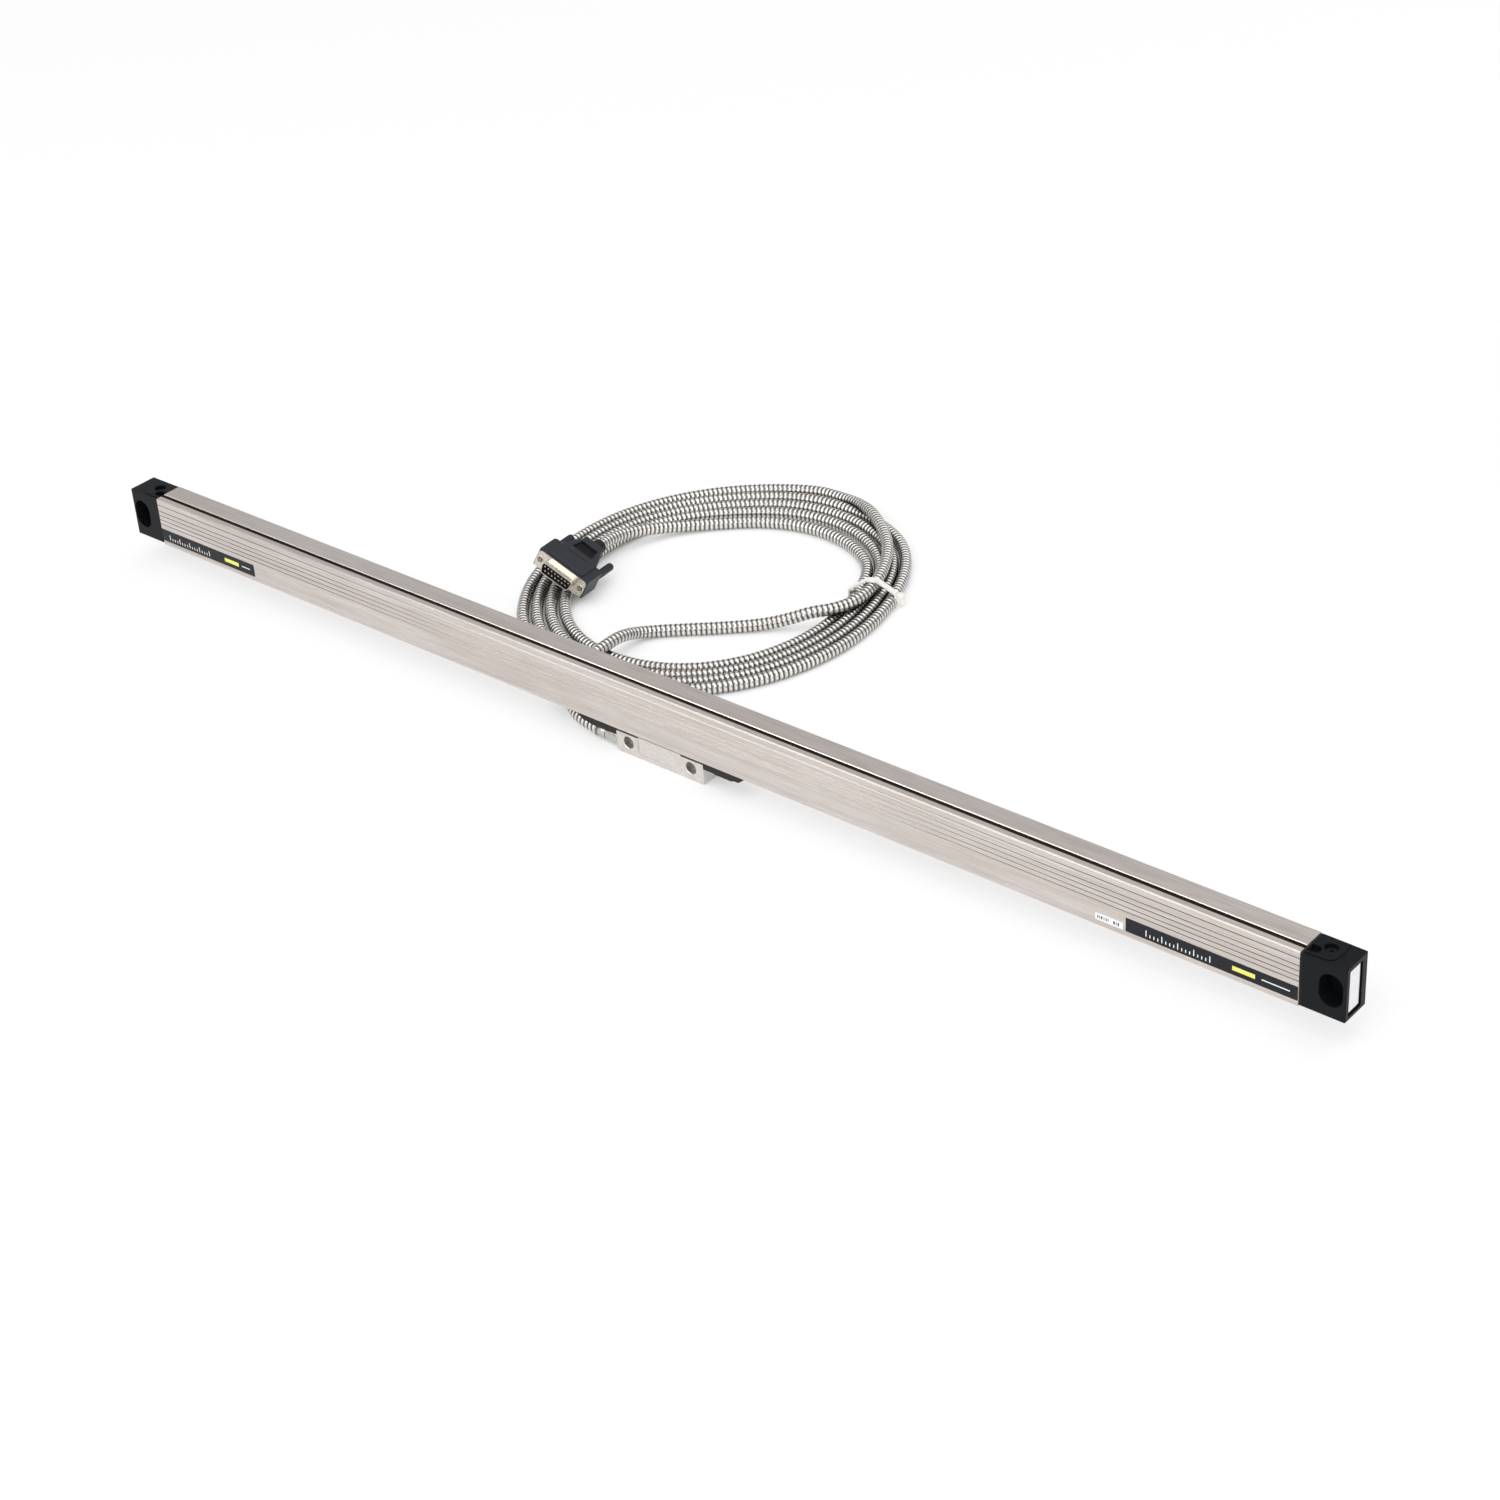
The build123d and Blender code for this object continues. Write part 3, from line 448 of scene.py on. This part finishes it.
def scaleGlass():
    # clear glass with the fine chrome graduation along its length
    material, nodes, links, shader = newMaterial("scaleGlass", **glass["base"])
    shader.inputs["Transmission Weight"].default_value = glass["clear"]
    wave = nodes.new("ShaderNodeTexWave")
    wave.wave_profile = "SIN"
    wave.bands_direction = "X"
    wave.inputs["Scale"].default_value = glass["lines"]
    links.new(objectPlace(nodes), wave.inputs["Vector"])
    lines = tones(nodes, links, wave.outputs["Fac"], **glass["graduation"])
    links.new(lines, shader.inputs["Base Color"])
    return material


finishes["scaleGlass"] = scaleGlass()
finishes["profileAnodised"] = profileAnodised()
finishes["hoseSteel"] = hoseSteel()
finishes["headNickel"] = headNickel()
for splitName in splitLooks:
    finishes[splitName] = splitOnPlug(splitName)

nodeFinishes = {
    "profileAnodised": ["housing_extrusion"],
    "endBlack": ["right_end_block", "left_end_block"],
    "sealRubber": ["right_end_gasket", "left_end_gasket", "front_lip_seal", "rear_lip_seal"],
    "plainSteel": ["end_block_screws", "head_cover_screws", "coupling_spring", "carriage_axles"],
    "plugBlack": ["port_plugs"],
    "scaleGlass": ["glass_scale", "index_grating"],
    "siliconeBond": ["scale_bond"],
    "headNickel": ["head_block", "head_cover"],
    "boardGreen": ["signal_board", "photodiode_board"],
    "groundSteel": ["head_arm", "grating_holder"],
    "wiperBlack": ["left_wiper", "right_wiper"],
    "castAluminium": ["carriage_frame"],
    "lampBlack": ["light_source"],
    "bearingSteel": ["left_edge_roller", "right_edge_roller", "left_face_roller", "right_face_roller",
                     "middle_face_roller"],
    "glandNickel": ["cable_gland"],
    "hoseSteel": ["conduit_lead", "conduit_coil", "conduit_tail"],
    "tieNylon": ["cable_tie"],
    "shellNickel": ["connector_shell"],
    "insulatorBlack": ["connector_insulator"],
    "pinGold": ["contact_pins"],
    "hoodBlack": ["upper_hood", "lower_hood"],
    "screwBlack": ["left_thumbscrew", "right_thumbscrew"],
    "bootBlack": ["strain_relief"],
}


def finish(piece, material):
    piece.data.materials.clear()
    piece.data.materials.append(finishes[material])


for materialName, nodeNames in nodeFinishes.items():
    for nodeName in nodeNames:
        finish(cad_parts[nodeName], materialName)
print("materials on the nodes")


# the armoured cable: one line through the lead, four turns and the tail. The coil's stations have an angle,
# the outer strand's radius and the strands' spacing; moveOver is the share of a lane that a strand has moved
# in by at the first stations of its next turn
hose = {
    "diameter": 0.008,
    "exit": (-0.042, -0.0046, 0.0058),
    "ground": 0.0041,
    "onTop": 0.0123,
    "middle": (-0.112, 0.178),
    "angles": (42, 60, 80, 100, 120, 140, 160, 180, 200, 220, 240, 260, 280, 300, 320, 340, 360, 381.5),
    "outer": (0.1263, 0.1305, 0.135, 0.136, 0.126, 0.12, 0.117, 0.116, 0.1185, 0.1245, 0.1333, 0.14, 0.142,
              0.1395, 0.1333, 0.1263, 0.1218, 0.121),
    "spacing": (0.0083, 0.0102, 0.0101, 0.0117, 0.011, 0.0095, 0.0083, 0.0082, 0.0084, 0.0091, 0.0096, 0.0098,
                0.009, 0.0083, 0.0082, 0.0081, 0.0081, 0.0081),
    "moveOver": (0, 0, 0.75),
    "cornerCut": 1.0153,
    "turns": 4,
    "steps": 12,
    "order": 3,
    "ringPitch": 0.0033,
    "ridge": ((0.0, 0.895), (0.09, 0.99), (0.5, 1.012), (0.91, 0.99)),
    "sides": 12,
    # where the painted shade between touching strands begins and ends
    "crevice": {"nearest": 0.0045, "furthest": 0.0066, "apart": 40},
}
ground, onTop = hose["ground"], hose["onTop"]
leadRoute = [hose["exit"], (-0.06, -0.0046, 0.0058), (-0.077, 0.0005, 0.0074), (-0.092, 0.0115, 0.0104),
             (-0.101, 0.026, onTop), (-0.105, 0.042, onTop), (-0.106, 0.059, onTop), (-0.1065, 0.077, onTop),
             (-0.108, 0.092, 0.007), (-0.104, 0.102, 0.0044), (-0.095, 0.111, ground), (-0.08, 0.123, ground),
             (-0.062, 0.138, ground), (-0.046, 0.152, 0.0048), (-0.033, 0.1625, 0.0084),
             (-0.024, 0.1705, 0.0118), (-0.0145, 0.18, onTop), (-0.009, 0.193, onTop), (-0.0085, 0.206, onTop),
             (-0.011, 0.2195, onTop), (-0.016, 0.234, onTop), (-0.024, 0.25, onTop), (-0.034, 0.2645, onTop),
             (-0.046, 0.2775, onTop), (-0.06, 0.2888, onTop), (-0.0735, 0.2985, 0.0118),
             (-0.086, 0.3055, 0.0096), (-0.098, 0.3105, 0.0072), (-0.11, 0.3135, 0.0052)]
tailRoute = [(-0.06, 0.2633, ground), (-0.08, 0.2685, ground), (-0.1, 0.2695, ground),
             (-0.12, 0.2658, ground), (-0.14, 0.2565, ground), (-0.158, 0.242, ground),
             (-0.173, 0.227, 0.0048), (-0.185, 0.211, 0.0068), (-0.1935, 0.193, 0.0102),
             (-0.19758, 0.17178, 0.01358), (-0.19396, 0.15528, 0.01548)]


def coilPoint(station, lane):
    angle = radians(hose["angles"][station])
    radius = (hose["outer"][station] - lane * hose["spacing"][station]) * hose["cornerCut"]
    return (hose["middle"][0] + radius * cos(angle), hose["middle"][1] + radius * sin(angle), ground)


def coilRoute():
    # each turn lies a lane further in than the one before
    points = []
    lastTurn = hose["turns"] - 1
    inLane = range(len(hose["moveOver"]), len(hose["angles"]))
    for turn in range(hose["turns"]):
        points += [coilPoint(station, turn) for station in inLane]
        if turn < lastTurn:
            points += [coilPoint(station, turn + over) for station, over in enumerate(hose["moveOver"])]
    points.append(coilPoint(0, lastTurn))
    return points


def routeLine(points):
    curve = bpy.data.curves.new("hoseRoute", "CURVE")
    curve.dimensions = "3D"
    curve.resolution_u = hose["steps"]
    spline = curve.splines.new("NURBS")
    spline.points.add(len(points) - 1)
    for point, place in zip(spline.points, points):
        point.co = (*place, 1)
    spline.order_u = hose["order"]
    spline.use_endpoint_u = True
    return curve


def ringCurve(spaced, ridge):
    curve = bpy.data.curves.new("hoseRings", "CURVE")
    curve.dimensions = "3D"
    curve.bevel_depth = hose["diameter"] / 2
    curve.bevel_resolution = hose["sides"] // 2 - 2
    curve.use_fill_caps = True
    spline = curve.splines.new("POLY")
    spline.points.add(len(spaced) - 1)
    for count, (point, place) in enumerate(zip(spline.points, spaced)):
        point.co = (*place, 1)
        point.radius = ridge[count % len(ridge)]
    return curve


def meshOf(curve):
    holder = addObject("curveHolder", curve)
    bpy.context.view_layer.update()
    mesh = bpy.data.meshes.new_from_object(holder.evaluated_get(bpy.context.evaluated_depsgraph_get()))
    bpy.data.objects.remove(holder)
    return mesh


def lineOf(curve):
    mesh = meshOf(curve)
    places = [vertex.co.copy() for vertex in mesh.vertices]
    bpy.data.meshes.remove(mesh)
    return places


def stations(places, pitch, shares):
    # places along the line: in every ring pitch, one at each of the given shares
    spaced, wanted, passed = [], 0, 0.0
    for a, b in zip(places, places[1:]):
        run = (b - a).length
        while True:
            ring, share = divmod(wanted, len(shares))
            target = (ring + shares[share]) * pitch
            if target > passed + run:
                break
            spaced.append(a.lerp(b, (target - passed) / run))
            wanted += 1
        passed += run
    return spaced


def markPoints(mesh, name, values):
    attribute = mesh.attributes.new(name, "FLOAT", "POINT")
    attribute.data.foreach_set("value", values)


def crevices(mesh, spaced, around):
    # 1 where the surface is closest to another strand's middle line, where the material paints shade
    tree = KDTree(len(spaced))
    for count, place in enumerate(spaced):
        tree.insert(place, count)
    tree.balance()
    nearest, furthest = hose["crevice"]["nearest"], hose["crevice"]["furthest"]
    apart = hose["crevice"]["apart"]
    values = []
    for count, vertex in enumerate(mesh.vertices):
        own = count // around
        gaps = [gap for _, other, gap in tree.find_range(vertex.co, furthest) if abs(other - own) > apart]
        value = (furthest - min(gaps)) / (furthest - nearest) if gaps else 0.0
        values.append(min(1.0, max(0.0, value)))
    return values


def makeHose():
    places = lineOf(routeLine(leadRoute + coilRoute() + tailRoute))
    shares, ridge = zip(*hose["ridge"])
    spaced = stations(places, hose["ringPitch"], shares)
    mesh = meshOf(ringCurve(spaced, ridge))
    for polygon in mesh.polygons:
        polygon.use_smooth = True
    around = len(mesh.vertices) // len(spaced)
    depths = [ridge[(count // around) % len(ridge)] for count in range(len(mesh.vertices))]
    markPoints(mesh, "ringDepth", depths)
    markPoints(mesh, "crevice", crevices(mesh, spaced, around))
    print("hose vertices", len(mesh.vertices), "around", around, "stations", len(spaced))
    piece = addObject("armouredHose", mesh)
    finish(piece, "hoseSteel")
    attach(piece, "detector_head")
    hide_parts("conduit_lead", "conduit_coil", "conduit_tail")
    print("hose polygons", len(mesh.polygons))


makeHose()
print("hose made")


# pieces that are added to the nodes
def meshFrom(bm, name):
    mesh = bpy.data.meshes.new(name)
    bm.to_mesh(mesh)
    bm.free()
    return mesh


def newPiece(name, bm, material, body):
    piece = addObject(name, meshFrom(bm, name))
    finish(piece, material)
    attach(piece, body)


def slab(bm, lowCorner, highCorner):
    size = Vector(highCorner) - Vector(lowCorner)
    middle = (Vector(highCorner) + Vector(lowCorner)) / 2
    bmesh.ops.create_cube(bm, size=1.0, matrix=Matrix.Translation(middle) @ Matrix.Diagonal((*size, 1)))


def housingSlabs(name, boxes, material):
    bm = bmesh.new()
    for lowCorner, highCorner in boxes:
        slab(bm, lowCorner, highCorner)
    bmesh.ops.recalc_face_normals(bm, faces=bm.faces)
    newPiece(name, bm, material, "scale_housing")


# labels: dark strips with a generic rule, a white sticker with plain marks and a bare one on the end.
# Places are x from and to, then z from and to; the end plate's are y and z
labels = {
    "bedFace": -0.0103,
    "thickness": 0.00012,
    "left": (-0.4463, -0.3543, 0.0194, 0.0283),
    "right": (0.3397, 0.4462, 0.0194, 0.0283),
    "sticker": (0.320, 0.338, 0.0196, 0.0240),
    "endPlate": (-0.0064, 0.0044, 0.0206, 0.0470),
    "endRecess": 0.001,
    "printLift": 0.00014,
    "printThickness": 0.00004,
    "tick": {"width": 0.0006, "pitch": 0.0025, "count": 17, "low": 0.0212, "short": 0.0232, "long": 0.0252,
             "longEvery": 4},
    "tickStart": {"left": -0.4395, "right": 0.3525},
    "bar": {"left": (-0.3835, -0.3695, 0.0224, 0.0252), "right": (0.4065, 0.4205, 0.0224, 0.0252)},
    "rule": {"left": (-0.3665, -0.3585, 0.0234, 0.0241), "right": (0.4245, 0.4415, 0.0234, 0.0241)},
    "stickerMarks": ((0.3215, 0.0006), (0.3228, 0.0004), (0.3239, 0.0008), (0.3256, 0.0004), (0.3269, 0.0006),
                     (0.3283, 0.0004), (0.3318, 0.0009), (0.3334, 0.0005), (0.3347, 0.0008)),
    "stickerMarkHeights": (0.0207, 0.0228),
}


def frontSlab(x0, x1, z0, z1, lift, thickness):
    y = labels["bedFace"] - lift
    return ((x0, y - thickness, z0), (x1, y, z1))


def printSlab(x0, x1, z0, z1):
    return frontSlab(x0, x1, z0, z1, labels["printLift"], labels["printThickness"])


def makeLabels():
    thin, tick = labels["thickness"], labels["tick"]
    for side in ("left", "right"):
        housingSlabs(side + "LabelStrip", [frontSlab(*labels[side], 0, thin)], "labelBlack")
        prints = []
        for count in range(tick["count"]):
            start = labels["tickStart"][side] + count * tick["pitch"]
            top = tick["short"] if count % tick["longEvery"] else tick["long"]
            prints.append(printSlab(start, start + tick["width"], tick["low"], top))
        prints.append(printSlab(*labels["rule"][side]))
        housingSlabs(side + "LabelRule", prints, "labelWhite")
        housingSlabs(side + "LabelBar", [printSlab(*labels["bar"][side])], "printYellow")
    heights = labels["stickerMarkHeights"]
    marks = [printSlab(x, x + width, *heights) for x, width in labels["stickerMarks"]]
    housingSlabs("stickerMarks", marks, "labelBlack")
    housingSlabs("smallSticker", [frontSlab(*labels["sticker"], 0, thin)], "labelWhite")
    y0, y1, z0, z1 = labels["endPlate"]
    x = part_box("right_end_block")[1].x - labels["endRecess"]
    housingSlabs("endSticker", [((x, y0, z0), (x + thin, y1, z1))], "labelWhite")


makeLabels()
print("labels made")


# smooth crimped sleeve on the cable where it enters the head's gland
sleeve = {"radius": 0.00445, "lip": 0.00475, "from": -0.0424, "to": -0.0505, "lipWidth": 0.0008, "sides": 40}


def makeSleeve():
    place = hose["exit"]
    bm = bmesh.new()
    for start, end, radius in ((sleeve["from"], sleeve["to"], sleeve["radius"]),
                               (sleeve["to"] + sleeve["lipWidth"], sleeve["to"], sleeve["lip"])):
        middle = Vector(((start + end) / 2, place[1], place[2]))
        turned = Matrix.Translation(middle) @ Matrix.Rotation(pi / 2, 4, "Y")
        bmesh.ops.create_cone(bm, cap_ends=True, segments=sleeve["sides"], radius1=radius, radius2=radius,
                              depth=abs(end - start), matrix=turned)
    bmesh.ops.recalc_face_normals(bm, faces=bm.faces)
    # the sides are smooth, the caps flat
    for face in bm.faces:
        face.smooth = len(face.verts) == 4
    newPiece("cableSleeve", bm, "glandNickel", "detector_head")


makeSleeve()
print("sleeve made")


# plug details: rolled rims around the jack screws and a near-black slab in the hood's recess as painted shade
def makeScrewRim(name, x):
    ring = plug["ring"]
    bm = bmesh.new()
    bmesh.ops.create_circle(bm, cap_ends=False, radius=ring["thickness"], segments=ring["section"],
                            matrix=Matrix.Translation((ring["radius"], 0, 0)))
    bmesh.ops.spin(bm, geom=bm.verts[:] + bm.edges[:], cent=(0, 0, 0), axis=(0, 1, 0), dvec=(0, 0, 0),
                   angle=2 * pi, steps=ring["sides"], use_merge=True)
    bmesh.ops.remove_doubles(bm, verts=bm.verts, dist=ring["weld"])
    bmesh.ops.recalc_face_normals(bm, faces=bm.faces)
    bmesh.ops.transform(bm, matrix=plugPose @ Matrix.Translation((x, 0, 0)), verts=bm.verts)
    for face in bm.faces:
        face.smooth = True
    newPiece(name, bm, "shellNickel", "detector_head")


# painted shade: a thin near-black slab down in the hood's recess
def makeHoodRecessShade():
    window = plug["window"]
    near, far, half = window["near"], window["far"], window["nearHalf"]
    bm = bmesh.new()
    slab(bm, (-half, near, window["low"]), (half, far, window["high"]))
    for vertex in bm.verts:
        if vertex.co.y > (near + far) / 2:
            vertex.co.x *= window["farHalf"] / half
    bmesh.ops.transform(bm, matrix=plugPose, verts=bm.verts)
    bmesh.ops.recalc_face_normals(bm, faces=bm.faces)
    newPiece("hoodRecessShade", bm, "windowShade", "detector_head")


makeScrewRim("leftScrewRim", -plug["screwX"])
makeScrewRim("rightScrewRim", plug["screwX"])
makeHoodRecessShade()
print("plug details made")


# painted shade: a dark brown strip over the top slit's floor and up its rear wall
slit = {
    "front": -0.00638,
    "back": -0.00362,
    "depth": 0.003,
    "fill": 0.0016,
    "lip": 0.00015,
    "wall": 0.0003,
    "endInset": 0.0002,
    "floorGap": 0.00002,
    "edge": {"width": 0.0006, "thickness": 0.0001, "below": 0.00006, "slope": 45},
}


def makeSlitShade():
    lowCorner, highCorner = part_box("housing_extrusion")
    x0, x1, top = lowCorner.x + slit["endInset"], highCorner.x - slit["endInset"], highCorner.z
    bottom, back = top - slit["depth"], slit["back"]
    floorPart = ((x0, slit["front"], bottom + slit["floorGap"]), (x1, back, bottom + slit["fill"]))
    wallPart = ((x0, back - slit["wall"], bottom + slit["fill"] / 2), (x1, back, top - slit["lip"]))
    housingSlabs("slitShadeStrip", [floorPart, wallPart], "slitShadeBrown")


def makeSlitEdge():
    # broken corner along the rear edge of the slit, which the rim lamp lights, paler than the extrusion as a
    # painted highlight
    lowCorner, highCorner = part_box("housing_extrusion")
    edge = slit["edge"]
    middle = ((lowCorner.x + highCorner.x) / 2, slit["back"], highCorner.z - edge["below"])
    size = (highCorner.x - lowCorner.x - 2 * slit["endInset"], edge["width"], edge["thickness"])
    bm = bmesh.new()
    turned = Matrix.Translation(middle) @ Matrix.Rotation(radians(edge["slope"]), 4, "X")
    bmesh.ops.create_cube(bm, size=1.0, matrix=turned @ Matrix.Diagonal((*size, 1)))
    newPiece("slitEdge", bm, "edgeHighlight", "scale_housing")


makeSlitShade()
makeSlitEdge()
print("slit strip made")


# floor, world and lamps. The sky's stops are the height and the colour there; a lamp has its place,
# its target, its size and its power
studio = {
    "floorSize": 12,
    "floorColour": (0.92, 0.92, 0.92),
    "floorLift": 0.6,
    "nearness": 0.014,
    "nearSamples": 8,
    "sky": ((0.2, (0.52, 0.52, 0.52)), (0.42, (0.235, 0.235, 0.238)), (0.68, (0.235, 0.235, 0.238)),
            (1.0, (1.0, 1.0, 1.0))),
    "worldStrength": 1.7,
    "lamps": (
        ("key", (0.3, -2.4, 2.1), (0.0, 0.1, 0.0), 2.4, 40),
        ("fill", (1.9, -1.2, 1.0), (0.1, 0.0, 0.0), 1.2, 10),
        ("back", (0.6, 2.3, 2.0), (-0.1, 0.1, 0.0), 1.6, 10),
        ("rim", (-1.27, -1.28, 1.56), (0.08, 0.0, 0.05), 0.7, 5),
    ),
}


def whiteRays(nodes, links, rays):
    # 1 for the rays that should see a white background
    path = nodes.new("ShaderNodeLightPath")
    total = path.outputs[rays[0]]
    for ray in rays[1:]:
        total = reckon(nodes, links, "MAXIMUM", total, path.outputs[ray])
    return total


def makeFloor():
    bm = bmesh.new()
    bmesh.ops.create_grid(bm, x_segments=1, y_segments=1, size=studio["floorSize"])
    floor = addObject("floor", meshFrom(bm, "floor"))
    material = bpy.data.materials.new("floorPale")
    material.use_nodes = True
    nodes, links = material.node_tree.nodes, material.node_tree.links
    nodes.clear()
    diffuse = nodes.new("ShaderNodeBsdfDiffuse")
    diffuse.inputs["Color"].default_value = (*studio["floorColour"], 1)
    glow = nodes.new("ShaderNodeEmission")
    glow.inputs["Color"].default_value = (1, 1, 1, 1)
    glow.inputs["Strength"].default_value = 1.0
    seen = whiteRays(nodes, links, ("Is Camera Ray", "Is Glossy Ray", "Is Transmission Ray"))
    # the lift fades out close under the object, so gaps between the strands stay dark
    openness = nodes.new("ShaderNodeAmbientOcclusion")
    openness.inputs["Distance"].default_value = studio["nearness"]
    openness.samples = studio["nearSamples"]
    lift = reckon(nodes, links, "MULTIPLY", openness.outputs["AO"], studio["floorLift"])
    mix = nodes.new("ShaderNodeMixShader")
    out = nodes.new("ShaderNodeOutputMaterial")
    links.new(product(nodes, links, seen, lift), mix.inputs["Fac"])
    links.new(diffuse.outputs[0], mix.inputs[1])
    links.new(glow.outputs[0], mix.inputs[2])
    links.new(mix.outputs[0], out.inputs["Surface"])
    floor.data.materials.append(material)


def makeWorld():
    # pale low down, grey halfway up, white overhead
    world = bpy.data.worlds.new("studio")
    world.use_nodes = True
    nodes, links = world.node_tree.nodes, world.node_tree.links
    place = nodes.new("ShaderNodeTexCoord")
    split = nodes.new("ShaderNodeSeparateXYZ")
    links.new(place.outputs["Generated"], split.inputs[0])
    ramp = nodes.new("ShaderNodeValToRGB")
    stops = ramp.color_ramp.elements
    madeStops = len(stops)
    for count, (height, colour) in enumerate(studio["sky"]):
        stop = stops[count] if count < madeStops else stops.new(height)
        stop.position = height
        stop.color = (*colour, 1)
    links.new(split.outputs["Z"], ramp.inputs["Fac"])
    links.new(ramp.outputs["Color"], nodes["Background"].inputs["Color"])
    nodes["Background"].inputs["Strength"].default_value = studio["worldStrength"]
    bpy.context.scene.world = world


def makeLamps():
    for name, place, target, size, power in studio["lamps"]:
        data = bpy.data.lights.new(name, "AREA")
        data.shape = "SQUARE"
        data.size = size
        data.energy = power
        lamp = addObject(name, data)
        lamp.location = place
        lamp.rotation_euler = (Vector(target) - Vector(place)).to_track_quat("-Z", "Y").to_euler()


makeFloor()
makeWorld()
makeLamps()
bpy.context.scene.view_settings.view_transform = "Standard"
print("studio made")
